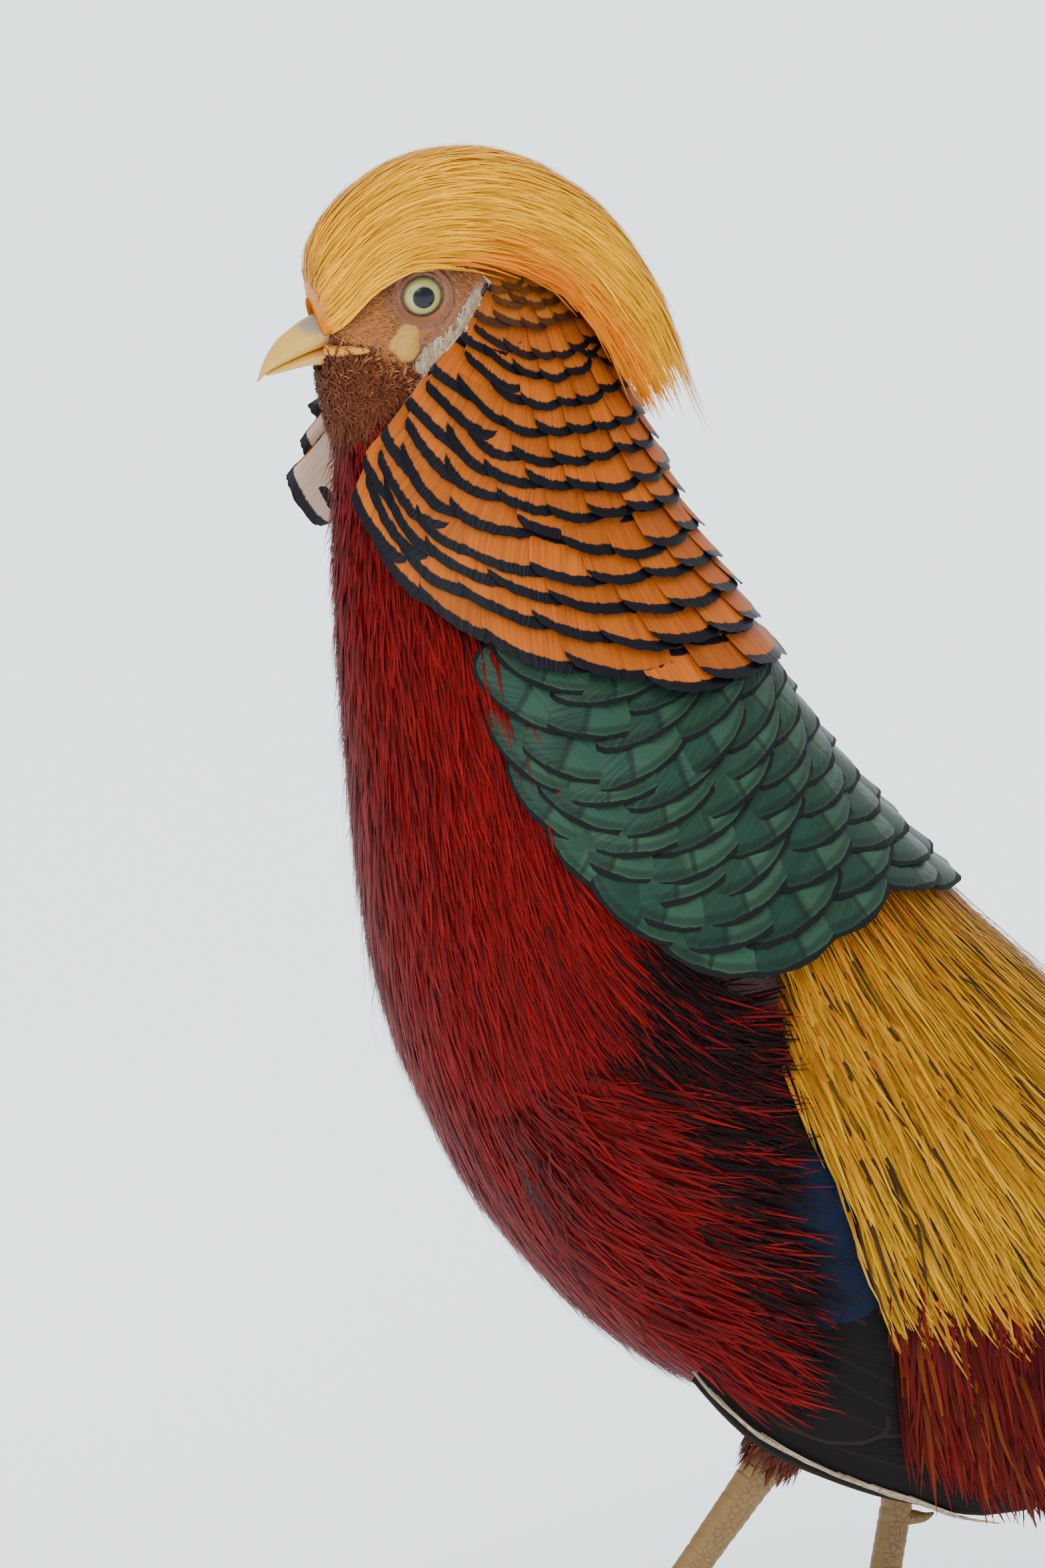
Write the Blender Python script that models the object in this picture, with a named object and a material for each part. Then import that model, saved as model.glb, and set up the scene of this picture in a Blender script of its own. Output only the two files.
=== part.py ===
# Golden pheasant cock, life size, standing in mid stride: one closed solid for each named part.
# Metres, +Z up. The bird faces -Y and its left side is +X. It is modelled round the line between
# its feet, and the parent empty then sets the middle of its footprint at the origin.

import math
import random

import bmesh
import bpy
import numpy as np
from mathutils import Matrix, Vector

GAP = 0.0004
VANE = 0.00055
SUNK = -0.0018
OVERLAP = 2.1

# Body from the bill's base to the tail's root. Each station is a section across the body:
# back y, z, breast y, z and half width.
BODY = np.array([
    (-0.1130, 0.3495, -0.1115, 0.3335, 0.0072),
    (-0.1095, 0.3600, -0.1112, 0.3285, 0.0112),
    (-0.1000, 0.3685, -0.1100, 0.3230, 0.0145),
    (-0.0870, 0.3730, -0.1088, 0.3160, 0.0165),
    (-0.0720, 0.3710, -0.1084, 0.3070, 0.0180),
    (-0.0580, 0.3610, -0.1084, 0.2970, 0.0200),
    (-0.0480, 0.3460, -0.1085, 0.2860, 0.0230),
    (-0.0410, 0.3290, -0.1080, 0.2730, 0.0270),
    (-0.0340, 0.3110, -0.1070, 0.2570, 0.0320),
    (-0.0260, 0.2930, -0.1050, 0.2360, 0.0380),
    (-0.0160, 0.2750, -0.1025, 0.2110, 0.0450),
    (-0.0050, 0.2560, -0.0980, 0.1840, 0.0520),
    (0.0080, 0.2360, -0.0890, 0.1560, 0.0570),
    (0.0240, 0.2150, -0.0740, 0.1270, 0.0600),
    (0.0410, 0.1940, -0.0520, 0.1010, 0.0610),
    (0.0600, 0.1730, -0.0240, 0.0810, 0.0590),
    (0.0810, 0.1540, 0.0080, 0.0740, 0.0540),
    (0.1040, 0.1380, 0.0420, 0.0750, 0.0460),
    (0.1270, 0.1250, 0.0780, 0.0800, 0.0360),
    (0.1480, 0.1150, 0.1120, 0.0860, 0.0250),
    (0.1660, 0.1070, 0.1420, 0.0920, 0.0150),
])
TAIL_CUT = 18.6

# Folded wing, seen from the side: a line from the shoulder to the wing tip, and along it the
# reach above and below that line, the half width of the bird there, and how far the sheet
# draws in at its upper and its lower edge.
WING_ROOT = np.array([-0.070, 0.185])
WING_TIP = np.array([0.098, 0.058])
WING = np.array([
    (0.016, 0.020, 0.0535, 0.0010, 0.0140),
    (0.028, 0.042, 0.0630, 0.0060, 0.0220),
    (0.030, 0.056, 0.0622, 0.0065, 0.0120),
    (0.025, 0.046, 0.0540, 0.0050, 0.0060),
    (0.010, 0.014, 0.0400, 0.0010, 0.0020),
])

# Head
EYE = Vector((0.0108, -0.0912, 0.3540))
EYE_RADIUS = 0.0062
LID_RADIUS = 0.0053
LID_THICK = 0.0009
CREST_RISE = (0.0020, 0.0060, 0.0092, 0.0118, 0.0132, 0.0137, 0.0137, 0.0117)
WATTLE = Vector((0.0150, -0.0955, 0.3420))
BILL_TIP = (-0.1283, 0.3312)

# Legs: ankle and foot of the left and the right leg, and the toes that every foot has.
ANKLE = {"left": Vector((0.028, -0.009, 0.066)), "right": Vector((-0.028, 0.041, 0.075))}
FOOT = {"left": Vector((0.028, -0.052, 0.0065)), "right": Vector((-0.028, 0.030, 0.0065))}
THIGH_TOP = {"left": Vector((0.027, 0.010, 0.100)), "right": Vector((-0.027, 0.046, 0.112))}
SHANK_RADIUS = 0.0039
TOES = {"middle": (-4, 0.047), "inner": (-42, 0.034), "outer": (36, 0.036), "hind": (172, 0.014)}
CLAW = 0.011

# Tail: the line that the longest feathers follow, and the feathers of one side, longest first.
TAIL_ROOT = (0.136, 0.106)
TAIL_LENGTH = 0.700
TAIL_PAIRS = (1.0, 0.79, 0.62, 0.49, 0.39, 0.31, 0.25, 0.21, 0.18)
TAIL_LAYER = 0.0010
TAIL_STATIONS = (0.0, 0.06, 0.13, 0.23, 0.36, 0.52)
TAIL_ROOF = 0.42

COLOURS = {
    "gold": ((0.86, 0.52, 0.06, 1), 0.45),
    "orange": ((0.80, 0.30, 0.05, 1), 0.5),
    "green": ((0.05, 0.20, 0.13, 1), 0.35),
    "red": ((0.36, 0.015, 0.02, 1), 0.5),
    "brown": ((0.10, 0.05, 0.03, 1), 0.5),
    "tail": ((0.30, 0.15, 0.05, 1), 0.5),
    "horn": ((0.62, 0.42, 0.14, 1), 0.35),
    "leg": ((0.45, 0.30, 0.12, 1), 0.5),
    "iris": ((0.82, 0.80, 0.50, 1), 0.1),
}

bird = None
materials = {}


def along(table, v):
    # Smooth values of a table at v, by a Catmull-Rom curve through its rows.
    v = np.asarray(v, float)
    last = len(table) - 1
    i = np.clip(np.floor(v).astype(int), 0, last - 1)
    f = (v - i)[..., None]
    a, b, c, d = (table[np.clip(i + k, 0, last)] for k in (-1, 0, 1, 2))
    return b + 0.5 * f * (c - a + f * (2 * a - 5 * b + 4 * c - d + f * (3 * (b - c) + d - a)))


def body(u, v):
    # A point of the body's surface: u turns from the back over the left side, v runs to the tail.
    back_y, back_z, breast_y, breast_z, half = np.moveaxis(along(BODY, v), -1, 0)
    c = np.cos(u)
    y = (back_y + breast_y + (back_y - breast_y) * c) / 2
    z = (back_z + breast_z + (back_z - breast_z) * c) / 2
    return np.stack([half * np.sin(u), y, z], -1)


def wing(u, v):
    # A point of the left wing's outer sheet: u is -1 on its upper edge and 1 on its lower, v runs to the tip.
    up, down, half, draw_up, draw_down = np.moveaxis(along(WING, np.asarray(v) * (len(WING) - 1)), -1, 0)
    line = (WING_TIP - WING_ROOT) / np.linalg.norm(WING_TIP - WING_ROOT)
    rise = np.where(u < 0, up, down) * -np.asarray(u)
    along_y = WING_ROOT[0] + (WING_TIP[0] - WING_ROOT[0]) * v - line[1] * rise
    along_z = WING_ROOT[1] + (WING_TIP[1] - WING_ROOT[1]) * v + line[0] * rise
    return np.stack([half - np.where(u < 0, draw_up, draw_down) * np.asarray(u) ** 2, along_y, along_z], -1)


def slopes(guide, u, v):
    # Change of a guide's point per unit of u and of v.
    step = 1e-3
    du = (guide(u + step, v) - guide(u - step, v)) / (2 * step)
    dv = (guide(u, v + step) - guide(u, v - step)) / (2 * step)
    return du, dv


def lifted(guide, u, v, lift):
    # The guide's point, raised along its outward normal.
    u, v = np.asarray(u, float), np.asarray(v, float)
    normal = np.cross(*slopes(guide, u, v))
    normal /= np.linalg.norm(normal, axis=-1, keepdims=True)
    return guide(u, v) + normal * np.asarray(lift, float)[..., None]


def walk(guide, start, angle, lengths):
    # Places on a guide at these lengths from start, heading angle away from +v.
    u, v = start
    done, places = 0.0, []
    for length in lengths:
        steps = max(1, math.ceil((length - done) / 0.004))
        for _ in range(steps):
            du, dv = slopes(guide, u, v)
            go = (length - done) / steps
            u += go * math.sin(angle) / max(np.linalg.norm(du), 1e-3)
            v += go * math.cos(angle) / max(np.linalg.norm(dv), 1e-3)
        done = length
        places.append((u, v))
    return places


def mesh_object(name, bm):
    bmesh.ops.recalc_face_normals(bm, faces=bm.faces[:])
    mesh = bpy.data.meshes.new(name)
    bm.to_mesh(mesh)
    bm.free()
    made = bpy.data.objects.new(name, mesh)
    bpy.context.scene.collection.objects.link(made)
    return made


def grid(points):
    # A grid of faces through an array of points, with the row and column of each vertex.
    rows, columns = points.shape[:2]
    bm = bmesh.new()
    bmesh.ops.create_grid(bm, x_segments=columns - 1, y_segments=rows - 1, size=0.5)
    spots = {v: (round((v.co.y + 0.5) * (rows - 1)), round((v.co.x + 0.5) * (columns - 1))) for v in bm.verts}
    for vert, (row, column) in spots.items():
        vert.co = points[row, column]
    return bm, spots


def slab(name, low, high, side=1):
    # A closed sheet between two arrays of points.
    bm, spots = grid(low)
    bmesh.ops.triangulate(bm, faces=bm.faces[:], quad_method="FIXED")
    upper = bmesh.ops.extrude_face_region(bm, geom=bm.faces[:], use_keep_orig=True)["geom"]
    places = {tuple(v.co): spot for v, spot in spots.items()}
    for vert in upper:
        if isinstance(vert, bmesh.types.BMVert):
            vert.co = high[places[tuple(vert.co)]]
    for vert in bm.verts:
        vert.co.x *= side
    bmesh.ops.triangulate(bm, faces=bm.faces[:])
    return mesh_object(name, bm)


def loft(name, rings, centres=None):
    # A closed skin over rings of points, with a fan over each end.
    bm = bmesh.new()
    made = [[bm.verts.new(point) for point in ring] for ring in rings]
    count = len(rings[0])
    for one, two in zip(made, made[1:]):
        for i in range(count):
            bm.faces.new((one[i], one[(i + 1) % count], two[(i + 1) % count], two[i]))
    for end, ring in enumerate((made[0], made[-1])):
        middle = sum((v.co for v in ring), Vector()) / count if centres is None else Vector(centres[end])
        tip = bm.verts.new(middle)
        for i in range(count):
            bm.faces.new((ring[i], ring[(i + 1) % count], tip))
    bmesh.ops.triangulate(bm, faces=bm.faces[:])
    return mesh_object(name, bm)


def applied(base, pieces, operation, solver="EXACT"):
    # The base joined with, or cut by, a collection of pieces, which are then removed.
    held = bpy.data.collections.new("pieces")
    bpy.context.scene.collection.children.link(held)
    for piece in pieces:
        for home in list(piece.users_collection):
            home.objects.unlink(piece)
        held.objects.link(piece)
    change = base.modifiers.new("change", "BOOLEAN")
    change.operation, change.solver = operation, solver
    change.operand_type, change.collection = "COLLECTION", held
    bpy.context.view_layer.update()
    graph = bpy.context.evaluated_depsgraph_get()
    mesh = bpy.data.meshes.new_from_object(base.evaluated_get(graph))
    base.modifiers.clear()
    base.data = mesh
    for piece in pieces:
        bpy.data.objects.remove(piece)
    bpy.data.collections.remove(held)
    keep_largest(base)
    return base


def keep_largest(obj):
    # Drops every closed surface of an object but the largest.
    bm = bmesh.new()
    bm.from_mesh(obj.data)
    left, shells = set(bm.verts), []
    while left:
        shell, front = set(), [left.pop()]
        while front:
            vert = front.pop()
            shell.add(vert)
            near = {edge.other_vert(vert) for edge in vert.link_edges} & left
            left -= near
            front.extend(near)
        shells.append(shell)
    biggest = max(shells, key=lambda shell: sum(face.calc_area() for vert in shell for face in vert.link_faces))
    bmesh.ops.delete(bm, geom=[v for shell in shells if shell is not biggest for v in shell], context="VERTS")
    bm.to_mesh(obj.data)
    bm.free()


def finish(obj, colour):
    # Gives a node its material and its parent, and its smooth shading.
    if colour not in materials:
        material = bpy.data.materials.new(colour)
        material.use_nodes = True
        shader = material.node_tree.nodes["Principled BSDF"]
        shader.inputs["Base Color"].default_value, shader.inputs["Roughness"].default_value = COLOURS[colour]
        materials[colour] = material
    obj.data.materials.clear()
    obj.data.materials.append(materials[colour])
    obj.data.shade_smooth()
    obj.data.set_sharp_from_angle(angle=math.radians(35))
    obj.parent = bird
    return obj


def vane(guide, places, angle, halves, lifts, bow=0.0, columns=3, side=1):
    # One feather: a thin plate along the guide, rooted under it and rising from it, through these places with
    # these half widths and lifts. Its tip's edges stand back from its middle by bow.
    rows = []
    for k, ((u, v), half, lift) in enumerate(zip(places, halves, lifts)):
        du, dv = (max(np.linalg.norm(slope), 1e-3) for slope in slopes(guide, u, v))
        across = np.linspace(-half, half, columns)
        back = bow * np.abs(np.linspace(-1, 1, columns)) * (k == len(places) - 1)
        us = u + (across * math.cos(angle) - back * math.sin(angle)) / du
        vs = v - (across * math.sin(angle) + back * math.cos(angle)) / dv
        rows.append([lifted(guide, us, vs, np.full(columns, lift + away)) for away in (-VANE / 2, VANE / 2)])
    return slab("vane", np.array([row[0] for row in rows]), np.array([row[1] for row in rows]), side)


def fan(guide, columns, tier, tip, shape, origin=None, wide=0.64, bow=0.0, width=3, sunk=SUNK, bends=False,
        raised=None, rooted=None, side=1, rng=None):
    # Feathers in tiers along a fan of columns, every second column half a tier on, all rising at one slope so
    # that none crosses the next. shape lists shares of the length with the share of the full width there.
    # The tiers are counted from the place origin along the guide. With bends, all feathers bend at the same
    # places. raised changes the lifts by column and share of the reach, and rooted says where a root may be.
    made = []
    marks = [np.concatenate([[0], np.linspace(reach / 24, reach * 1.05, 25)]) for _, _, reach in columns]
    paths = [np.array([start] + walk(guide, start, heading, mark[1:]))
             for (start, heading, reach), mark in zip(columns, marks)]
    lines = [guide(path[:, 0], path[:, 1]) for path in paths]
    slope = (tip - sunk) / (OVERLAP * tier)
    for index, ((start, heading, reach), mark, path) in enumerate(zip(columns, marks, paths)):
        near = [lines[k] for k in (index - 1, index + 1) if 0 <= k < len(lines)]
        gaps = np.mean([np.linalg.norm(lines[index] - other, axis=1) for other in near], axis=0)
        before = 0.0
        if origin is not None:
            before = (start[1] - origin) * np.linalg.norm(slopes(guide, *start)[1])
        first = (0.5 * (index % 2) - before / tier) % 1.0 * tier
        roots = [root for root in np.arange(first, reach - 1.55 * tier, tier)
                 if rooted is None or rooted(np.interp(root, mark, path[:, 0]), np.interp(root, mark, path[:, 1]))]
        for root in roots:
            end = reach if root == roots[-1] else root + OVERLAP * tier
            if rng:
                end += rng.uniform(-0.06, 0.06) * tier
            shares = [share for share, _ in shape]
            if bends:
                shares = [k * tier / 2 / (end - root) for k in range(4)] + [1.0]
            stops = [root + (end - root) * share for share in shares]
            places = [(np.interp(stop, mark, path[:, 0]), np.interp(stop, mark, path[:, 1])) for stop in stops]
            across = wide * np.interp((root + end) / 2, mark, gaps)
            halves = [across * np.interp(share, *zip(*shape)) for share in shares]
            lifts = [sunk + slope * (stop - root) for stop in stops]
            if raised:
                lifts = raised(index, [stop / reach for stop in stops], lifts)
            made.append(vane(guide, places, heading, halves, lifts, bow, width, side))
    return made


def body_ring(v, lift=0.0, count=28):
    u = np.linspace(0, 2 * math.pi, count, endpoint=False)
    places = v(u) if callable(v) else np.full(count, float(v))
    return lifted(body, u, places, np.full(count, lift))


def trunk(name, start, end, sections, lift=0.0, count=28):
    # The body between two cuts, each a station or a function of u.
    def mix(share):
        def cut(u):
            one = start(u) if callable(start) else start
            two = end(u) if callable(end) else end
            return one + (two - one) * share + 0 * u
        return cut
    rings = [body_ring(mix(k / sections), lift, count) for k in range(sections + 1)]
    return loft(name, rings)


def head_cut(u):
    return 5.4 - 0.9 * (1 + np.cos(u)) / 2


def neck_cut(u):
    return 8.5 + 1.7 * ((1 + np.cos(u)) / 2) ** 3


def rump_cut(u):
    turned = np.degrees(np.abs((np.asarray(u) + math.pi) % (2 * math.pi) - math.pi))
    return np.interp(turned, [0, 48, 75, 95, 130, 180], [13.05, 12.5, 12.05, 12.4, 14.6, 16.0])


def ellipsoid(name, centre, radii, segments=16, rings=10, turn=None):
    bm = bmesh.new()
    bmesh.ops.create_uvsphere(bm, u_segments=segments, v_segments=rings, radius=1)
    matrix = Matrix.Translation(centre) @ (turn or Matrix()) @ Matrix.Diagonal((*radii, 1))
    bmesh.ops.transform(bm, matrix=matrix, verts=bm.verts[:])
    return mesh_object(name, bm)


def mirrored(point, side):
    return Vector((point.x * side, point.y, point.z))


def crest(u, v):
    # A point on the crest's core: u is a share of its half width, -1 to 1.
    u, v = np.asarray(u, float), np.asarray(v, float)
    wide = math.radians(62) * np.interp(v, [0.25, 1, 4.3, 7.6], [0.75, 1.0, 1.0, 0.62])
    lift = np.interp(v, [0.2, 1, 2, 3, 4, 5, 6.3, 7.6], CREST_RISE) * (1 - 0.36 * np.clip(u, -1, 1) ** 2)
    return lifted(body, u * wide, v, lift)


def make_crest():
    vs = np.linspace(0.25, 6.6, 9)
    u, v = np.meshgrid(np.linspace(-1, 1, 7), vs)
    high = crest(u, v)
    wide = math.radians(62) * np.interp(v, [0.25, 1, 4.3, 7.6], [0.75, 1.0, 1.0, 0.62])
    low = lifted(body, u * wide, v, np.where(v < 4.4, -0.001, 0.0068))
    thin = np.linalg.norm(high - low, axis=-1, keepdims=True) < 0.0008
    low = np.where(thin, high - 0.0008 * (high - body(0 * u, v)) / np.linalg.norm(high - body(0 * u, v) + 1e-9,
                                                                                 axis=-1, keepdims=True), low)
    columns = [((0.92 * k / 3, 0.45), 0.0, 0.122 - 0.012 * abs(k) / 3) for k in range(-3, 4)]
    locks = fan(crest, columns, 0.027, 0.0024, ((0, 0.6), (0.35, 1.0), (0.7, 0.8), (1, 0.2)), wide=0.43, width=2,
                sunk=-0.0012, bends=True)
    return slab("crest", low, high), locks


def lid(side):
    bpy.ops.mesh.primitive_torus_add(major_segments=14, minor_segments=5, major_radius=LID_RADIUS,
                                     minor_radius=LID_THICK)
    ring = bpy.context.object
    out = lifted(body, np.radians(70.0), 3.05, 0.0)
    surface = Vector((float(out[0]), EYE.y, EYE.z))
    ring.data.transform(Matrix.Translation(surface) @ Matrix.Rotation(math.radians(84), 4, "Y"))
    ring.data.transform(Matrix.Diagonal((side, 1, 1, 1)))
    if side < 0:
        ring.data.flip_normals()
    return ring


def make_head():
    head = trunk("head", 0.0, lambda u: head_cut(u) - 0.012, 9)
    core, locks = make_crest()
    pieces = [core] + locks
    for side in (1, -1):
        pieces.append(lid(side))
        pieces.append(ellipsoid("wattle", mirrored(WATTLE, side), (0.0022, 0.0042, 0.0055), 10, 7))
    applied(head, pieces, "UNION")
    sockets = [ellipsoid("socket", mirrored(EYE, side), [EYE_RADIUS + GAP] * 3, 14, 9) for side in (1, -1)]
    bpy.ops.mesh.primitive_cube_add(size=1)
    mouth = bpy.context.object
    mouth.data.transform(Matrix.Translation((0, -0.109, 0.3385)) @ Matrix.Diagonal((0.04, 0.012, 0.0005, 1)))
    applied(head, sockets + [mouth], "DIFFERENCE")
    finish(head, "gold")
    for side, word in ((1, "left"), (-1, "right")):
        finish(ellipsoid("eye_" + word, mirrored(EYE, side), [EYE_RADIUS] * 3, 14, 9), "iris")


def bill_half(name, top, bottom, widths, count=12):
    # One half of the bill: rings between a top and a bottom line that end at the tip.
    rings = []
    for (ty, tz), (by, bz), half in zip(top, bottom, widths):
        middle, reach = Vector((0, (ty + by) / 2, (tz + bz) / 2)), Vector((0, ty - by, tz - bz)) / 2
        rings.append([middle + reach * math.cos(a) + Vector((half * math.sin(a), 0, 0))
                      for a in np.linspace(0, 2 * math.pi, count, endpoint=False)])
    return finish(loft(name, rings), "horn")


def make_bill():
    tip_y, tip_z = BILL_TIP
    back_top, back_low = Vector((0, -0.1136, 0.3488)), Vector((0, -0.1124, 0.3340))
    upper = bill_half(
        "bill_upper",
        [(back_top.y - GAP, back_top.z), (-0.1180, 0.3466), (-0.1228, 0.3420), (-0.1264, 0.3362), (tip_y, tip_z + 0.0006)],
        [(-0.1130 - GAP, 0.3390), (-0.1170, 0.3371), (-0.1215, 0.3350), (-0.1252, 0.3328), (tip_y + 0.0003, tip_z)],
        [0.0069, 0.0060, 0.0043, 0.0023, 0.0004])
    bill_half(
        "bill_lower",
        [(-0.1130 - GAP, 0.3384), (-0.1170, 0.3366), (-0.1212, 0.3345), (-0.1240, 0.3331)],
        [(back_low.y - GAP, back_low.z), (-0.1170, 0.3333), (-0.1208, 0.3325), (-0.1238, 0.3327)],
        [0.0062, 0.0050, 0.0030, 0.0006])
    nostrils = [ellipsoid("nostril", Vector((0.0052 * side, -0.1172, 0.3436)), (0.0016, 0.0017, 0.0009), 8, 6)
                for side in (1, -1)]
    applied(upper, nostrils, "DIFFERENCE")
    finish(upper, "horn")


def cape_columns():
    # Starts, headings and reaches of the columns of cape feathers, from the nape to both sides of the throat.
    for column in range(-5, 6):
        a = abs(column) / 5
        start = math.radians(78) * a * math.copysign(1, column)
        heading = math.radians(66) * a ** 1.2 * math.copysign(1, column)
        yield (start, float(head_cut(start)) + 0.18), heading, 0.100 - 0.050 * a * a


def mantle_columns():
    for column in range(-5, 6):
        a = abs(column) / 5
        start = math.radians(98) * a * math.copysign(1, column)
        reach = float(np.interp(a, [0, 0.8, 1], [0.080, 0.082, 0.048]))
        yield (start, float(neck_cut(start)) + 0.15), math.radians(8) * a * math.copysign(1, column), reach


def hackle_columns():
    for column in range(-5, 6):
        a = abs(column) / 5
        start = math.radians(72) * a * math.copysign(1, column)
        heading = math.radians(4 + 24 * a * a) * math.copysign(1, column)
        yield (start, float(rump_cut(start)) + 0.2 + 0.25 * a * a), heading, 0.112 - 0.016 * a


def make_neck():
    neck = trunk("neck", lambda u: head_cut(u) + 0.012, lambda u: neck_cut(u) - 0.010, 6, count=24)

    def flare(index, shares, lifts):
        out = (0, 0.0020, 0.0065)[max(0, abs(index - 5) - 3)]
        return [lift + out * max(0.0, share - 0.25) for lift, share in zip(lifts, shares)]
    cape = fan(body, list(cape_columns()), 0.0196, 0.0052, ((0, 0.6), (0.5, 1.0), (1, 0.92)), bow=0.0022, raised=flare)
    finish(applied(neck, cape, "UNION"), "orange")


def make_trunk():
    torso = trunk("torso", lambda u: neck_cut(u) + 0.010, lambda u: rump_cut(u) - 0.010, 8, count=24)
    mantle = fan(body, list(mantle_columns()), 0.0157, 0.0040, ((0, 0.5), (0.5, 1.0), (1, 0.75)), 8.5, bow=0.0045,
                 rooted=lambda u, v: v < rump_cut(u) - 0.62)
    finish(applied(torso, mantle, "UNION"), "green")
    rump = trunk("rump", lambda u: rump_cut(u) + 0.010, TAIL_CUT - 0.01, 8, count=24)

    def over_wing(index, shares, lifts):
        a = abs(index - 5) / 5
        rise = np.interp(a, [0.45, 0.7], [0.0, 1.0])
        return [(1 - rise) * lift + rise * high for lift, high in zip(lifts, (SUNK, 0.0078, 0.0106, 0.0116))]
    hackles = fan(body, list(hackle_columns()), 0.027, 0.0050, ((0, 0.7), (0.35, 1.0), (0.7, 0.8), (1, 0.15)),
                  wide=0.62, width=2, raised=over_wing, rng=random.Random(8),
                  rooted=lambda u, v: abs(u) < math.radians(64) or v < 12.6)
    finish(applied(rump, hackles, "UNION"), "gold")


def wing_cutter():
    # The torso and the rump, swollen by the gap, that the wings and the thighs are cut back to.
    return trunk("swollen", 8.0, 19.5, 24, GAP, 24)


def make_wing(side, word):
    u, v = np.meshgrid(np.linspace(-1, 1, 7), np.linspace(0.0, 1.0, 9))
    high = lifted(wing, u * 0.97, v, 0.0 * u)
    depth = np.interp(v, [0, 0.5, 0.75, 1.0], [0.016, 0.012, 0.006, 0.0014])
    low = lifted(wing, u * 0.97, v, -depth)
    plate = slab("wing_" + word, low, high, side)
    columns = [((0.4 * k, 0.02), math.radians(-1.5 * k), 0.200 - 0.015 * abs(k)) for k in range(-1, 3)]
    feathers = fan(wing, columns, 0.042, 0.0022, ((0, 0.55), (0.5, 1.0), (1, 0.6)), bow=0.010, wide=0.6,
                   sunk=-0.0012, bends=True, side=side)
    applied(plate, feathers, "UNION")
    finish(applied(plate, [wing_cutter()], "DIFFERENCE"), "brown")


def tail_line(d):
    # Height and slope of the tail's line at distance d from its root: it leaves the rump at a slope and levels out.
    steps = np.linspace(0, d, 24)
    slope = np.radians(np.interp(steps, [0, 0.12, 0.35, 0.70], [17.0, 12.0, 6.9, 4.2]))
    run = np.trapz(np.cos(slope), steps)
    drop = np.trapz(np.sin(slope), steps)
    return TAIL_ROOT[0] + run, TAIL_ROOT[1] - drop, slope[-1]


def tail(u, v):
    # A point of the tail's roof-shaped sheet: u is the distance to the side and v that from the root.
    u, v = np.broadcast_arrays(np.asarray(u, float), np.asarray(v, float))
    line = np.array([tail_line(d) for d in v.ravel()]).reshape(*v.shape, 3)
    sag = TAIL_ROOF * (np.sqrt(u * u + 0.004 ** 2) - 0.004)
    return np.stack([u, line[..., 0] - sag * np.sin(line[..., 2]), line[..., 1] - sag * np.cos(line[..., 2])], -1)


def tail_feather(pair, level, inner, outer, shape):
    # One tail feather on its own level of the roof, between an inner and an outer edge, with its own taper.
    length = TAIL_LENGTH * pair
    stations = [d for d in TAIL_STATIONS if d < length - 0.012] + [length]
    ridge = 0.0 if inner * outer < 0 else (inner + outer) / 2
    rows = []
    for d in stations:
        wide = np.interp(d / length, *zip(*shape))
        spread = 0.03 * d * (inner * outer > 0) * math.copysign(1, outer)
        u = ridge + spread + (np.array([inner, ridge, outer]) - ridge) * wide
        rows.append([lifted(tail, u, np.full(3, d), np.full(3, level + away)) for away in (-VANE / 2, VANE / 2)])
    low, high = (np.array([row[k] for row in rows]) for k in (0, 1))
    low[..., 2] = np.maximum(low[..., 2], 0.0)
    high[..., 2] = np.maximum(high[..., 2], low[..., 2] + VANE * 0.8)
    return slab("feather", low, high)


def make_tail():
    root = trunk("tail", TAIL_CUT + 0.01, 19.9, 3, count=20)
    broad = ((0, 0.3), (0.1, 0.75), (0.35, 1.0), (0.65, 0.82), (0.88, 0.5), (1, 0.10))
    short = ((0, 0.4), (0.3, 1.0), (0.8, 0.85), (1, 0.25))
    feathers = [tail_feather(1.0, 0.004, -0.0165, 0.0245, broad),
                tail_feather(0.985, 0.004 - TAIL_LAYER, 0.0165, -0.0245, broad)]
    for k, pair in enumerate(TAIL_PAIRS[1:]):
        level = 0.004 - (k + 2) * TAIL_LAYER
        reach = 0.0260 - 0.0006 * k
        for side in (1, -1):
            feathers.append(tail_feather(pair, level, 0.0006 * side, reach * side, broad if k < 3 else short))
    finish(applied(root, feathers, "UNION"), "tail")


def tube(name, points, radii, count=10, flat=None):
    # A tapered limb through points. flat is a level below which nothing reaches.
    rings = []
    for k, (point, radius) in enumerate(zip(points, radii)):
        ahead = (points[min(k + 1, len(points) - 1)] - points[max(k - 1, 0)]).normalized()
        across = ahead.cross(Vector((0, 0, 1)))
        across = across.normalized() if across.length > 0.1 else Vector((1, 0, 0))
        upward = across.cross(ahead).normalized()
        ring = [point + radius * (across * math.cos(a) + upward * math.sin(a))
                for a in np.linspace(0, 2 * math.pi, count, endpoint=False) + math.pi / count]
        if flat is not None:
            for spot in ring:
                spot.z = max(spot.z, flat)
        rings.append(ring)
    return loft(name, rings)


def toe_line(foot, turn, length):
    ahead = Vector((math.sin(turn), -math.cos(turn), 0))
    heights = (0.0072, 0.0042, 0.0032, 0.0024, 0.0023)
    radii = (0.0046, 0.0040, 0.0037, 0.0028, 0.0027)
    shares = (0.0, 0.30, 0.55, 0.80, 1.0)
    base = Vector((foot.x, foot.y, 0))
    points = [base + ahead * length * share + Vector((0, 0, height)) for share, height in zip(shares, heights)]
    return ahead, points, radii


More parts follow.
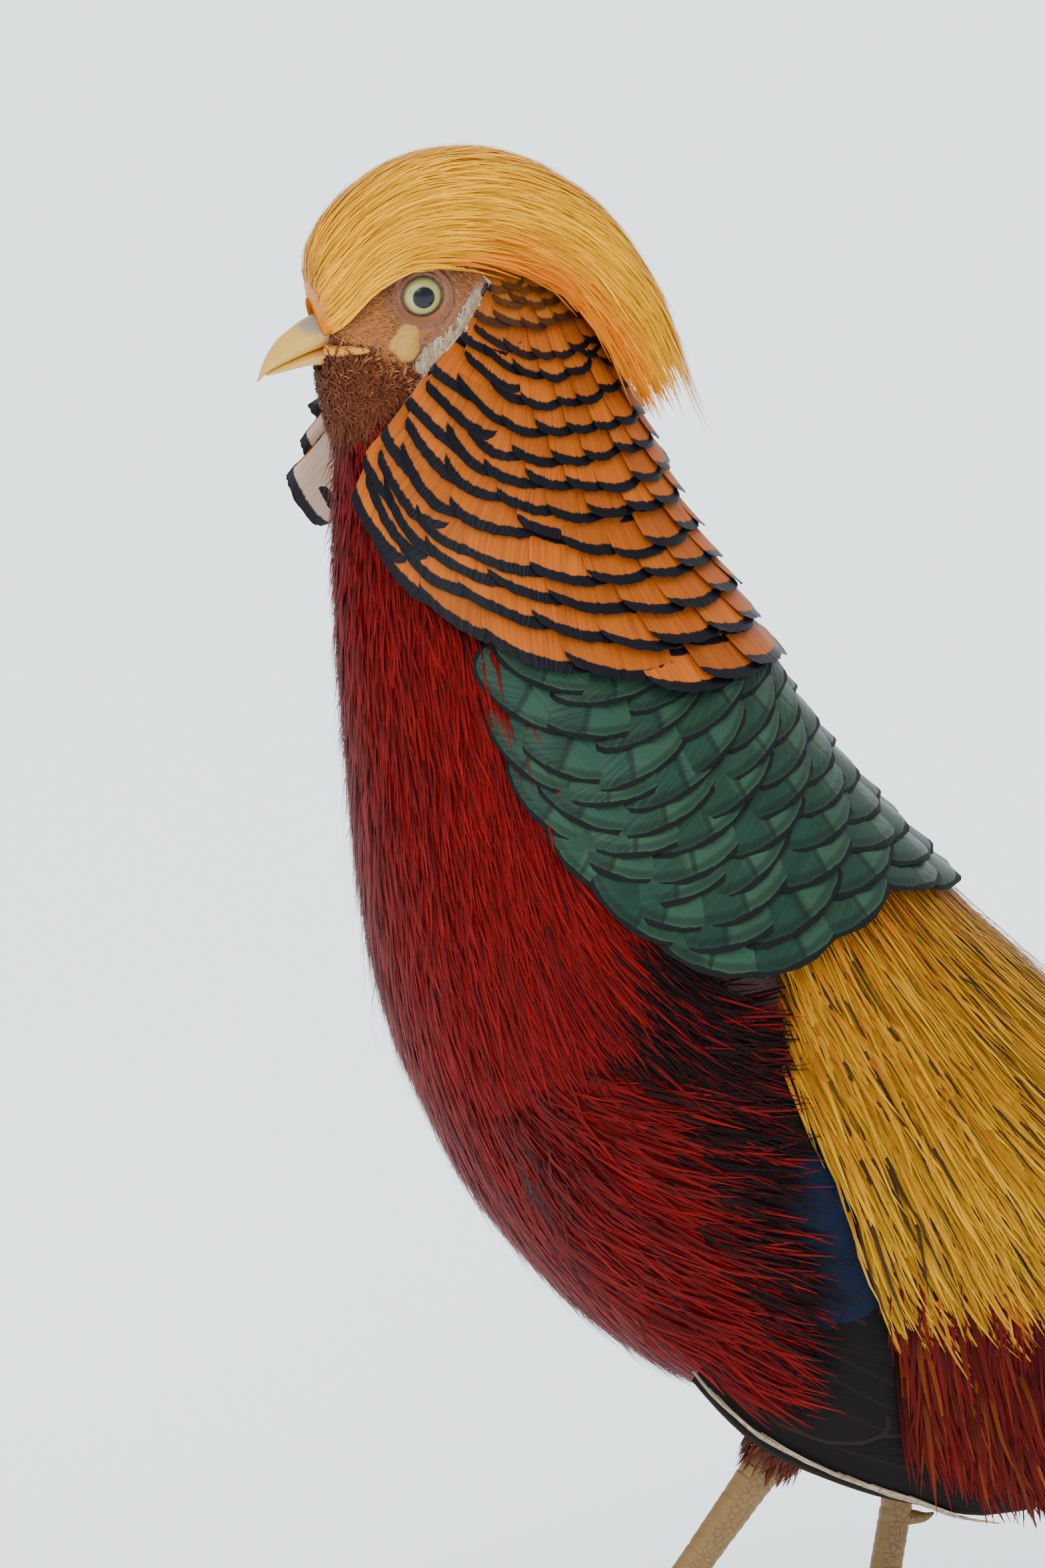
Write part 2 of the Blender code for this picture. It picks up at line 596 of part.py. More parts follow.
def make_leg(side, word):
    ankle, foot = ANKLE[word], FOOT[word]
    top = THIGH_TOP[word]
    thigh = tube("thigh_" + word, [top, top.lerp(ankle, 0.45), top.lerp(ankle, 0.85), ankle + Vector((0, 0, 0.001))],
                 [0.019, 0.014, 0.0078, 0.0056], 16)
    applied(thigh, [wing_cutter()], "DIFFERENCE")
    finish(thigh, "red")
    down = (foot - ankle).normalized()
    joint = ankle + down * 0.003
    line = [joint, ankle.lerp(foot, 0.12), ankle.lerp(foot, 0.5), ankle.lerp(foot, 0.9), foot - down * 0.0052]
    radii = [0.0052, 0.0046, SHANK_RADIUS, 0.0040, 0.0048]
    shank = tube("shank_" + word, line, radii, 12)
    swollen = tube("swollen", line[:-1] + [line[-1] + down * GAP], [radius + GAP for radius in radii], 12)
    rear = Vector((-0.2 * side, 1, 0)).normalized()
    spur_root = ankle.lerp(foot, 0.62)
    spur = tube("spur", [spur_root, spur_root + rear * 0.006, spur_root + rear * 0.0095 + Vector((0, 0, 0.001))],
                [0.0022, 0.0016, 0.0004], 8)
    finish(applied(shank, [spur], "UNION"), "leg")
    pieces = []
    for toe, (degrees, length) in TOES.items():
        ahead, points, radii = toe_line(foot, math.radians(degrees * side), length)
        pieces.append(tube("toe", points, radii, 8, 0.0))
        low = Vector((0, 0, -1))
        claw = [points[-1] + ahead * (GAP + CLAW * out) + low * CLAW * drop
                for out, drop in ((0, 0), (0.4, 0.03), (0.8, 0.15), (1, 0.24))]
        finish(tube("claw_" + toe + "_" + word, claw, [0.0021, 0.0017, 0.0011, 0.0004], 6, 0.0), "horn")
    ball = ellipsoid("foot_" + word, Vector((foot.x, foot.y, 0.0058)), (0.0068, 0.0068, 0.0057), 10, 7)
    applied(ball, pieces, "UNION")
    finish(applied(ball, [swollen], "DIFFERENCE"), "leg")


def centre():
    # Moves the bird so that the middle of its footprint is the origin and its soles are at zero.
    spots = np.array([vert.co for node in bird.children for vert in node.data.vertices])
    low, high = spots.min(0), spots.max(0)
    bird.location = (-(low[0] + high[0]) / 2, -(low[1] + high[1]) / 2, -low[2])


def main():
    global bird
    for obj in list(bpy.data.objects):
        bpy.data.objects.remove(obj)
    bird = bpy.data.objects.new("pheasant", None)
    bpy.context.scene.collection.objects.link(bird)
    make_head()
    make_bill()
    make_neck()
    make_trunk()
    make_tail()
    for side, word in ((1, "left"), (-1, "right")):
        make_wing(side, word)
        make_leg(side, word)
    centre()


main()
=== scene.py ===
# Golden pheasant cock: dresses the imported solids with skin, feathers, horn and eyes.
# Everything is worked out on the bird's own guides and then shifted onto the frame.
import math

import bmesh
import bpy
import numpy as np
from mathutils import Matrix, Vector


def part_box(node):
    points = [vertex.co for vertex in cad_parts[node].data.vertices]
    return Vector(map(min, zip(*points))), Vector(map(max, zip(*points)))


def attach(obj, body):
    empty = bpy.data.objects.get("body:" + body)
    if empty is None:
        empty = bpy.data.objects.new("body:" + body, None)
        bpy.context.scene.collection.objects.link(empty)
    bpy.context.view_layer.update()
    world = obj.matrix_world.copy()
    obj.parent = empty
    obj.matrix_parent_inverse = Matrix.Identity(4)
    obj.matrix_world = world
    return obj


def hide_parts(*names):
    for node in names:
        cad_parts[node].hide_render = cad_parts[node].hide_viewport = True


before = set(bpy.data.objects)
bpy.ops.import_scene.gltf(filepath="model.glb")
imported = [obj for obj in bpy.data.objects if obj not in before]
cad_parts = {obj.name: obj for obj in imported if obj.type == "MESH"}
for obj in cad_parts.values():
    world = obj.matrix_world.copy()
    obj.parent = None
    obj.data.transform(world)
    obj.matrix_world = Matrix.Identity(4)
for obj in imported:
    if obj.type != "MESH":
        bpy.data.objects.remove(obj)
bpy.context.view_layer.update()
print("frame loaded with", len(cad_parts), "nodes")

eyeLow, eyeHigh = (np.array(corner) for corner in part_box("eye_left"))
eyePlace = np.array([0.0108, -0.0912, 0.3540])
shift = (eyeLow + eyeHigh) / 2 - eyePlace      # from the guides to the frame

# Guides: the bird's own forms, on which skin and feathers lie.
bodyTable = np.array([     # back y, z, breast y, z and half width, from the bill's base to the tail's root
    (-0.1130, 0.3495, -0.1115, 0.3335, 0.0072), (-0.1095, 0.3600, -0.1112, 0.3285, 0.0112),
    (-0.1000, 0.3685, -0.1100, 0.3230, 0.0145), (-0.0870, 0.3730, -0.1088, 0.3160, 0.0165),
    (-0.0720, 0.3710, -0.1084, 0.3070, 0.0180), (-0.0580, 0.3610, -0.1084, 0.2970, 0.0200),
    (-0.0480, 0.3460, -0.1085, 0.2860, 0.0230), (-0.0410, 0.3290, -0.1080, 0.2730, 0.0270),
    (-0.0340, 0.3110, -0.1070, 0.2570, 0.0320), (-0.0260, 0.2930, -0.1050, 0.2360, 0.0380),
    (-0.0160, 0.2750, -0.1025, 0.2110, 0.0450), (-0.0050, 0.2560, -0.0980, 0.1840, 0.0520),
    (0.0080, 0.2360, -0.0890, 0.1560, 0.0570), (0.0240, 0.2150, -0.0740, 0.1270, 0.0600),
    (0.0410, 0.1940, -0.0520, 0.1010, 0.0610), (0.0600, 0.1730, -0.0240, 0.0810, 0.0590),
    (0.0810, 0.1540, 0.0080, 0.0740, 0.0540), (0.1040, 0.1380, 0.0420, 0.0750, 0.0460),
    (0.1270, 0.1250, 0.0780, 0.0800, 0.0360), (0.1480, 0.1150, 0.1120, 0.0860, 0.0250),
    (0.1660, 0.1070, 0.1420, 0.0920, 0.0150)])
bodyRows = len(bodyTable)      # the body's v as a share of this is its height on the OFBake map
wingTable = np.array([     # reach above and below the wing's line, half width, and how far each edge draws in
    (0.016, 0.020, 0.0535, 0.0010, 0.0140), (0.028, 0.042, 0.0630, 0.0060, 0.0220),
    (0.030, 0.056, 0.0622, 0.0065, 0.0120), (0.025, 0.046, 0.0540, 0.0050, 0.0060),
    (0.010, 0.014, 0.0400, 0.0010, 0.0020)])
wingTrim = ([0.2, 0.3, 0.4, 0.5, 0.6, 0.7, 0.8, 0.9, 1.0], [1, 0.88, 0.75, 0.75, 0.73, 0.72, 0.76, 0.86, 1.0])
wingRoot, wingTip = np.array([-0.070, 0.185]), np.array([0.098, 0.058])
crestStations = [0.2, 1, 2, 3, 4, 5, 6.3, 7.6]
crestRise = [0.0050, 0.0080, 0.0105, 0.0125, 0.0143, 0.0162, 0.0176, 0.0172]
legPlaces = {"left": {"top": (0.027, 0.010, 0.100), "ankle": (0.028, -0.009, 0.066),
                      "foot": (0.028, -0.052, 0.0065)},
             "right": {"top": (-0.027, 0.046, 0.112), "ankle": (-0.028, 0.041, 0.075),
                       "foot": (-0.028, 0.030, 0.0065)}}


def along(table, v):
    v = np.asarray(v, float)
    last = len(table) - 1
    i = np.clip(np.floor(v).astype(int), 0, last - 1)
    f = np.clip(v - i, -0.5, 1.5)[..., None]
    a, b, c, d = (table[np.clip(i + k, 0, last)] for k in (-1, 0, 1, 2))
    return b + 0.5 * f * (c - a + f * (2 * a - 5 * b + 4 * c - d + f * (3 * (b - c) + d - a)))


def body(u, v):            # u turns from the back over the left side, v runs from bill to tail
    backY, backZ, breastY, breastZ, half = np.moveaxis(along(bodyTable, v), -1, 0)
    c = np.cos(u)
    return np.stack([half * np.sin(u), (backY + breastY + (backY - breastY) * c) / 2,
                     (backZ + breastZ + (backZ - breastZ) * c) / 2], -1)


def wing(u, v):            # u is -1 on the upper edge and 1 on the lower, v runs to the wing's tip
    u = np.where(np.asarray(u) > 0, u * np.interp(v, *wingTrim), u)
    up, down, half, drawUp, drawDown = np.moveaxis(along(wingTable, np.clip(v, -0.1, 1.15) * 4), -1, 0)
    line = (wingTip - wingRoot) / np.linalg.norm(wingTip - wingRoot)
    rise = np.where(u < 0, up, down) * -np.asarray(u)
    y = wingRoot[0] + (wingTip[0] - wingRoot[0]) * v - line[1] * rise
    z = wingRoot[1] + (wingTip[1] - wingRoot[1]) * v + line[0] * rise
    half = half - 0.0075 * (1 - ramp(v, -0.02, 0.17))
    return np.stack([half - np.where(u < 0, drawUp, drawDown) * np.asarray(u) ** 2, y, z], -1)


def slopes(guide, u, v):
    step = 1e-3
    across, ahead = guide(u + step, v) - guide(u - step, v), guide(u, v + step) - guide(u, v - step)
    return across / (2 * step), ahead / (2 * step)


def lifted(guide, u, v, lift):
    normal = np.cross(*slopes(guide, u, v))
    normal /= np.linalg.norm(normal, axis=-1, keepdims=True) + 1e-12
    return guide(u, v) + normal * np.asarray(lift, float)[..., None]


def rumpCut(u):
    return np.interp(np.degrees(np.abs(u)), [0, 48, 75, 95, 130, 180], [13.05, 12.5, 12.05, 12.4, 14.6, 16.0])


def tailLine(d):
    steps = np.linspace(0, 1, 40) * np.asarray(d, float)[..., None]
    slope = np.radians(np.interp(steps, [0, 0.12, 0.35, 0.70], [17.0, 12.0, 6.9, 4.2]))
    return (0.136 + np.trapz(np.cos(slope), steps, axis=-1), 0.106 - np.trapz(np.sin(slope), steps, axis=-1),
            slope[..., -1])


def tailSheet(u, v):       # u is the distance to the side, v that from the tail's root
    u, v = np.broadcast_arrays(np.asarray(u, float), np.asarray(v, float))
    y, z, slope = tailLine(v)
    sag = 0.42 * (np.sqrt(u * u + 0.004 ** 2) - 0.004)
    return np.stack([u, y - sag * np.sin(slope), z - sag * np.cos(slope)], -1)


def ramp(x, low, high):    # smooth step from 0 to 1
    t = np.clip((np.asarray(x, float) - low) / (high - low), 0, 1)
    return t * t * (3 - 2 * t)


# Shader maths: a wire can be added, multiplied and compared like a number.
class Wire:
    def __init__(self, tree, socket):
        self.tree = tree
        self.socket = socket

    def math(self, kind, other=None, swap=False):
        node = self.tree.nodes.new("ShaderNodeMath")
        node.operation = kind
        values = [self, other] if not swap else [other, self]
        for slot, value in zip(node.inputs, values):
            if isinstance(value, Wire):
                self.tree.links.new(value.socket, slot)
            elif value is not None:
                slot.default_value = value
        return Wire(self.tree, node.outputs[0])

    def __add__(self, other): return self.math("ADD", other)
    def __radd__(self, other): return self.math("ADD", other)
    def __sub__(self, other): return self.math("SUBTRACT", other)
    def __rsub__(self, other): return self.math("SUBTRACT", other, True)
    def __mul__(self, other): return self.math("MULTIPLY", other)
    def __rmul__(self, other): return self.math("MULTIPLY", other)
    def __truediv__(self, other): return self.math("DIVIDE", other)
    def __rtruediv__(self, other): return self.math("DIVIDE", other, True)
    def __lt__(self, other): return self.math("LESS_THAN", other)
    def __gt__(self, other): return self.math("GREATER_THAN", other)


class Finish:
    # A material under construction: node() adds any node, the rest are short cuts to it.
    def __init__(self, name):
        self.material = bpy.data.materials.new(name)
        self.material.use_nodes = True
        self.tree = self.material.node_tree
        self.shader = self.tree.nodes["Principled BSDF"]

    def node(self, kind, settings=None, inputs=None, output=0):
        node = self.tree.nodes.new(kind)
        for key, value in (settings or {}).items():
            if key == "stops":
                ramp = node.color_ramp
                while len(ramp.elements) > 1:
                    ramp.elements.remove(ramp.elements[-1])
                ramp.elements[0].position, ramp.elements[0].color = value[0]
                for place, colour in value[1:]:
                    ramp.elements.new(place).color = colour
            else:
                setattr(node, key, value)
        for key, value in (inputs or {}).items():
            if isinstance(value, Wire):
                self.tree.links.new(value.socket, node.inputs[key])
            else:
                node.inputs[key].default_value = value
        return Wire(self.tree, node.outputs[output])

    def attribute(self, name, output=2):
        return self.node("ShaderNodeAttribute", {"attribute_name": name}, output=output)

    def feather(self):
        # Across and along a feather, each 0 to 1.
        parts = self.node("ShaderNodeSeparateXYZ", None,
                          {0: self.node("ShaderNodeUVMap", {"uv_map": "Feather"})})
        node = parts.socket.node
        return Wire(self.tree, node.outputs[0]), Wire(self.tree, node.outputs[1])

    def combine(self, x, y, z=0.0):
        return self.node("ShaderNodeCombineXYZ", None, {0: x, 1: y, 2: z})

    def noise(self, vector, scale, detail=3.0, rough=0.5, output=0):
        return self.node("ShaderNodeTexNoise", None, {"Vector": vector, "Scale": scale, "Detail": detail,
                                                      "Roughness": rough}, output)

    def mix(self, factor, a, b, kind="MIX"):
        settings = {"data_type": "RGBA", "blend_type": kind}
        return self.node("ShaderNodeMix", settings, {0: factor, 6: a, 7: b}, 2)

    def stops(self, factor, *stops):
        return self.node("ShaderNodeValToRGB", {"stops": stops}, {0: factor})

    def smooth(self, value, low, high):
        return self.node("ShaderNodeMapRange", {"interpolation_type": "SMOOTHSTEP"},
                         {0: value, 1: low, 2: high, 3: 0.0, 4: 1.0})

    def place(self):
        return self.node("ShaderNodeTexCoord", output=3)

    def done(self, **values):
        for key, value in values.items():
            slot = self.shader.inputs[key.replace("_", " ")]
            if isinstance(value, Wire):
                self.tree.links.new(value.socket, slot)
            else:
                slot.default_value = value
        return self.material

    def bump(self, height, strength, distance):
        return self.node("ShaderNodeBump", None,
                         {"Height": height, "Strength": strength, "Distance": distance})


def rgb(r, g, b):
    return (r, g, b, 1.0)


# Meshes and feathers.
def meshPiece(name, points, faces, uvs=None, values=None, material=None, smooth=True):
    # A piece from points in guide space, with its own maps and values for each point.
    mesh = bpy.data.meshes.new(name)
    points = np.asarray(points, float).reshape(-1, 3) + shift
    faces = np.asarray(faces, np.int32)
    mesh.vertices.add(len(points))
    mesh.vertices.foreach_set("co", points.astype(np.float32).ravel())
    count, corners = faces.shape
    mesh.loops.add(count * corners)
    mesh.polygons.add(count)
    mesh.loops.foreach_set("vertex_index", faces.ravel())
    mesh.polygons.foreach_set("loop_start", np.arange(0, count * corners, corners, dtype=np.int32))
    mesh.polygons.foreach_set("use_smooth", np.full(count, smooth))
    for key, uv in (uvs or {}).items():
        layer = mesh.uv_layers.new(name=key)
        layer.data.foreach_set("uv", uv.reshape(-1, 2)[faces.ravel()].astype(np.float32).ravel())
    for key, value in (values or {}).items():
        layer = mesh.attributes.new(key, "FLOAT", "POINT")
        layer.data.foreach_set("value", np.asarray(value, np.float32).ravel())
    mesh.update(calc_edges=True)
    mesh.validate()
    piece = bpy.data.objects.new(name, mesh)
    bpy.context.scene.collection.objects.link(piece)
    mesh.materials.append(material)
    return piece


def gridFaces(count, rows, cols, flip=False):
    base = np.arange(count)[:, None, None] * rows * cols
    r, c = np.meshgrid(np.arange(rows - 1), np.arange(cols - 1), indexing="ij")
    corner = base + (r * cols + c)[None]
    quads = np.stack([corner, corner + 1, corner + cols + 1, corner + cols], -1).reshape(-1, 4)
    return quads[:, ::-1] if flip else quads


def ringFaces(rows, cols, flip=False):     # rings that close on themselves
    r, c = np.meshgrid(np.arange(rows - 1), np.arange(cols), indexing="ij")
    near, far = (c + r * cols), (c + 1) % cols + r * cols
    quads = np.stack([near, far, far + cols, near + cols], -1).reshape(-1, 4)
    return quads[:, [0, 3, 2, 1]] if flip else quads


def paired(points, faces):     # the left side's points and faces, and their mirror image
    points = points.reshape(-1, 3)
    both = np.concatenate([points, points * np.array([-1, 1, 1])])
    return both, np.concatenate([faces, faces[:, ::-1] + len(points)])


def sealed(piece):             # open ends closed and all faces outwards
    bm = bmesh.new()
    bm.from_mesh(piece.data)
    bmesh.ops.holes_fill(bm, edges=[e for e in bm.edges if e.is_boundary], sides=0)
    bmesh.ops.recalc_face_normals(bm, faces=bm.faces[:])
    bm.to_mesh(piece.data)
    bm.free()
    piece.data.shade_smooth()
    return piece


patchSize = 0.003              # a feather's share of the OFBake map


class Plumage:
    # Gathers the feathers of one piece, each laid over a guide from its root.
    def __init__(self, name, material):
        self.name, self.material = name, material
        self.points, self.faces, self.feather, self.bake = [], [], [], []
        self.values = {"seed": [], "tone": [], "size": [], "edge": []}
        self.total = 0

    def add(self, guide, u, v, angle, length, width, lift, shape, rows=5, cols=2, seed=None, tone=0.0, side=1,
            curl=0.0, cup=0.0, fray=0.0, bow=0.0, sway=0.0, rng=None, home=None, tilt=0.0):
        # lift is the height at the root, the middle and the tip, shape the width at shares of the length.
        u, v = np.asarray(u, float).copy(), np.asarray(v, float).copy()
        n = len(u)
        full = lambda x: np.broadcast_to(np.asarray(x, float), (n,)).astype(float)
        angle, length, width, curl, sway, tilt = (full(x) for x in (angle, length, width, curl, sway, tilt))
        lifts = [full(x) for x in lift]
        seed = rng.random(n) if seed is None else full(seed)
        marks = np.linspace(0, 1, rows)
        wide = np.interp(marks, *zip(*shape))
        across = np.linspace(-1, 1, cols)
        root = (u / (2 * math.pi) + 0.5, v / bodyRows) if home is None else home(u, v)
        spots = np.zeros((n, rows, cols, 3))
        fraying = rng.uniform(-fray, fray, (n, cols)) if fray else np.zeros((n, cols))
        steps = 2 if rows > 6 else 3
        for k, mark in enumerate(marks):
            if k:
                for _ in range(steps):
                    heading = angle + curl * mark + sway * math.sin(mark * 5)
                    du, dv = (np.maximum(np.linalg.norm(s, axis=-1), 1e-4) for s in slopes(guide, u, v))
                    go = length * (marks[k] - marks[k - 1]) / steps
                    u = u + go * np.sin(heading) / du
                    v = v + go * np.cos(heading) / dv
            heading = angle + curl * mark
            du, dv = (np.maximum(np.linalg.norm(s, axis=-1), 1e-4)[:, None] for s in slopes(guide, u, v))
            out = across[None] * (width * wide[k] / 2)[:, None]
            ahead = (-bow * np.abs(across)[None] ** 2 * mark ** 3 + fraying * mark ** 6) * length[:, None]
            s, c = np.sin(heading)[:, None], np.cos(heading)[:, None]
            us = u[:, None] + (out * c + ahead * s) / du
            vs = v[:, None] + (-out * s + ahead * c) / dv
            height = np.where(mark < 0.5, lifts[0] + (lifts[1] - lifts[0]) * mark * 2,
                              lifts[1] + (lifts[2] - lifts[1]) * (mark * 2 - 1))[:, None]
            height = height + tilt[:, None] * across[None] * mark
            height = height - cup * across[None] ** 2 * (width * wide[k] / 2)[:, None]
            spots[:, k] = lifted(guide, us, vs, height)
        spots[..., 0] *= side
        local = np.stack(np.broadcast_arrays(across[None, None] / 2 + 0.5, marks[None, :, None]), -1)
        local = np.broadcast_to(local, (n, rows, cols, 2))
        patch = np.stack([full(root[0])[:, None, None] + patchSize * (local[..., 0] - 0.5),
                          full(root[1])[:, None, None] + patchSize * local[..., 1]], -1)
        edge = self.rimDistance(across, wide * width.mean() / 2, marks * length.mean(), bow * length.mean())
        self.faces.append(gridFaces(n, rows, cols, side < 0) + self.total)
        self.total += n * rows * cols
        self.points.append(spots.reshape(-1, 3))
        self.feather.append(local.reshape(-1, 2))
        self.bake.append(patch.reshape(-1, 2))
        each = np.ones((n, rows, cols))
        self.values["seed"].append((each * seed[:, None, None]).ravel())
        self.values["tone"].append((each * full(tone)[:, None, None]).ravel())
        self.values["size"].append((each * length[:, None, None]).ravel())
        self.values["edge"].append((each * edge[None]).ravel())

    def rimDistance(self, across, half, up, bow):
        # How far each point of the mean feather lies from its edges and tip.
        drawn = bow * across[None] ** 2 * (up[:, None] / up[-1]) ** 3
        flat = np.stack(np.broadcast_arrays(across[None] * half[:, None], up[:, None] - drawn), -1)
        rim = np.concatenate([flat[1:, 0], flat[1:, -1], flat[-1]])
        joined = np.linalg.norm(np.diff(rim, axis=0), axis=1) < up[-1] * 0.5
        rim = np.concatenate([rim[:-1] + (rim[1:] - rim[:-1]) * t for t in (0, 0.25, 0.5, 0.75)])
        return np.linalg.norm(flat[:, :, None] - rim[np.tile(joined, 4)][None, None], axis=-1).min(-1)

    def build(self, *nodes):
        piece = meshPiece(self.name, np.concatenate(self.points), np.concatenate(self.faces),
                          {"OFBake": np.concatenate(self.bake), "Feather": np.concatenate(self.feather)},
                          {key: np.concatenate(value) for key, value in self.values.items()}, self.material)
        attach(piece, "root")
        if nodes:
            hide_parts(*nodes)
        print(self.name, "has", sum(len(p.vertices) - 2 for p in piece.data.polygons), "triangles")
        return piece


def scatter(rng, count, guide, uRange, vRange, chance=None):
    # Places spread evenly over a guide, thinned by chance(u, v).
    found = np.zeros((0, 2))
    peak = None
    while len(found) < count:
        u = rng.uniform(*uRange, count * 3)
        v = rng.uniform(*vRange, count * 3)
        area = np.linalg.norm(np.cross(*slopes(guide, u, v)), axis=-1)
        peak = peak or area.max() * 1.02
        keep = rng.random(len(u)) < area / peak * (1 if chance is None else chance(u, v))
        found = np.concatenate([found, np.stack([u, v], -1)[keep]])
    return found[:count, 0], found[:count, 1]


# Feather materials, with x across and y along each feather.
def strandFinish(name, root, tip, other, streak=0.35, gloss=0.45, dark=None, bright=(0.65, 1.25)):
    # Hair-like feathers: a colour from root to tip, another colour by tone, and each its own brightness.
    m = Finish(name)
    x, y = m.feather()
    seed, tone = m.attribute("seed"), m.attribute("tone")
    colour = m.mix(m.smooth(y, 0.1, 0.95), root, tip)
    colour = m.mix(tone, colour, other)
    fine = m.noise(m.combine(x * 3 + seed * 91, y * 0.8 + seed * 17), 3.0)
    shade = m.stops(seed * 0.6 + fine * 0.4, (0.25, rgb(*[bright[0]] * 3)), (0.75, rgb(*[bright[1]] * 3)))
    colour = m.mix(1.0, colour, shade, "MULTIPLY")
    if dark:
        colour = m.mix(m.smooth(seed, 1 - dark[0], 1 - dark[0] + 0.04), colour, dark[1])
    height = m.noise(m.combine(x * 9, y * 1.5, seed * 50), 2.0)
    return m.done(Base_Color=colour, Roughness=gloss, Normal=m.bump(height, streak, 0.0004),
                  Specular_IOR_Level=0.08)


def barbs(m, x, y, seed, slant=0.6, scale=60.0):
    # Fine parallel barbs that slant from the shaft to the edges.
    out = (x - 0.5).math("ABSOLUTE")
    return m.noise(m.combine((y - out * slant) * scale + seed * 37, x * 1.2, seed * 11), 1.0, 2.0)


def capeFinish():
    m = Finish("cape orange with blue-black bars")
    x, y = m.feather()
    seed, tone, size = (m.attribute(key) for key in ("seed", "tone", "size"))
    fine = m.noise(m.combine(x * 34 + seed * 71, y * 1.6, seed * 9), 1.0, 2.0)
    ragged = m.noise(m.combine(x * 9 + seed * 31, y * 0.5 + seed * 5), 1.0, 3.0)
    fromTip = (1 - y) * size + (ragged - 0.5) * 0.0011 + (fine - 0.5) * 0.0007
    bar = size * 0.060 + 0.0011 + (x - 0.5) * (x - 0.5) * 0.004
    first = m.smooth(fromTip - bar, 0.00025, -0.00025)
    second = m.smooth(fromTip - bar, 0.0068, 0.0073) * m.smooth(fromTip - bar, 0.0094, 0.0088)
    orange = m.stops(fine * 0.55 + ragged * 0.45, (0.28, rgb(0.16, 0.026, 0.001)),
                     (0.5, rgb(0.38, 0.070, 0.002)), (0.75, rgb(0.56, 0.125, 0.005)))
    pale = m.mix(m.smooth(y, 0.35, 0.9) * 0.35, orange, rgb(0.52, 0.14, 0.012))
    tan = m.mix(tone, pale, rgb(0.40, 0.13, 0.020))
    colour = m.mix((first + second).math("MINIMUM", 1.0) * (1 - tone * 0.35), tan, rgb(0.004, 0.004, 0.007))
    shade = 0.75 + seed * 0.4
    colour = m.mix(1.0, colour, m.combine(shade, shade, shade), "MULTIPLY")
    return m.done(Base_Color=colour, Roughness=0.5 - first * 0.12, Normal=m.bump(fine, 0.5, 0.0005),
                  Specular_IOR_Level=0.15)


def scaleFinish(name, light, deep, rim, rimWide=0.0013, gloss=0.38):
    # Scale-like back feathers: metallic sheen, one half vane painted lighter as painted sheen, and a velvety dark
    # rim.
    m = Finish(name)
    x, y = m.feather()
    seed, edge = m.attribute("seed"), m.attribute("edge")
    fine = barbs(m, x, y, seed, 0.5, 26.0)
    # One half vane lighter than the other is painted sheen; the barbs and each feather's seed vary it further.
    half = m.smooth(x + (seed - 0.5) * 0.1, 0.46, 0.56)
    sheen = m.mix((half * 0.55 + fine * 0.35 + seed * 0.25), light, deep)
    cloud = m.noise(m.combine(x * 2 + seed * 9, y * 2 + seed * 4), 1.3)
    sheen = m.mix(m.smooth(cloud, 0.35, 0.75) * 0.4, sheen, rgb(0.018, 0.070, 0.060))
    shaft = m.smooth((x - 0.5).math("ABSOLUTE"), 0.035, 0.012) * 0.7
    sheen = m.mix(shaft, sheen, rgb(0.010, 0.02, 0.016))
    dark = m.smooth(edge + (fine - 0.5) * 0.0006, rimWide * 1.15, rimWide * 0.85)
    line = m.smooth(edge, rimWide * 2.6, rimWide * 1.9) * m.smooth(edge, rimWide * 1.0, rimWide * 1.5) * 0.5
    colour = m.mix(line, sheen, rgb(0.006, 0.012, 0.010))
    colour = m.mix(dark, colour, rim)
    return m.done(Base_Color=colour, Roughness=gloss + dark * 0.35, Metallic=(1 - dark) * 0.35,
                  Normal=m.bump(fine, 0.5, 0.0004), Specular_IOR_Level=0.22)


def quillFinish(name):
    # Wing feathers: tone 0 is black-brown, 0.5 blue, 1 dark maroon. A pale edge shows where size is long.
    m = Finish(name)
    x, y = m.feather()
    seed, edge, tone = (m.attribute(key) for key in ("seed", "edge", "tone"))
    fine = barbs(m, x, y, seed, 1.1, 40.0)
    base = m.stops(tone, (0.0, rgb(0.0035, 0.0026, 0.0026)), (0.3, rgb(0.006, 0.003, 0.002)),
                   (0.45, rgb(0.002, 0.008, 0.024)), (0.6, rgb(0.003, 0.011, 0.032)),
                   (0.75, rgb(0.009, 0.002, 0.002)), (1.0, rgb(0.016, 0.002, 0.002)))
    base = m.mix(fine * 0.35, base, rgb(0.014, 0.007, 0.005))
    line = m.smooth(edge, 0.0012, 0.0006) * m.smooth(tone, 0.25, 0.05)
    base = m.mix(line * 0.25, base, rgb(0.06, 0.035, 0.020))
    shaft = m.smooth((x - 0.5).math("ABSOLUTE"), 0.03, 0.01)
    base = m.mix(shaft * 0.35, base, rgb(0.02, 0.012, 0.008))
    return m.done(Base_Color=base, Roughness=0.46, Normal=m.bump(fine, 0.5, 0.0005), Specular_IOR_Level=0.08)


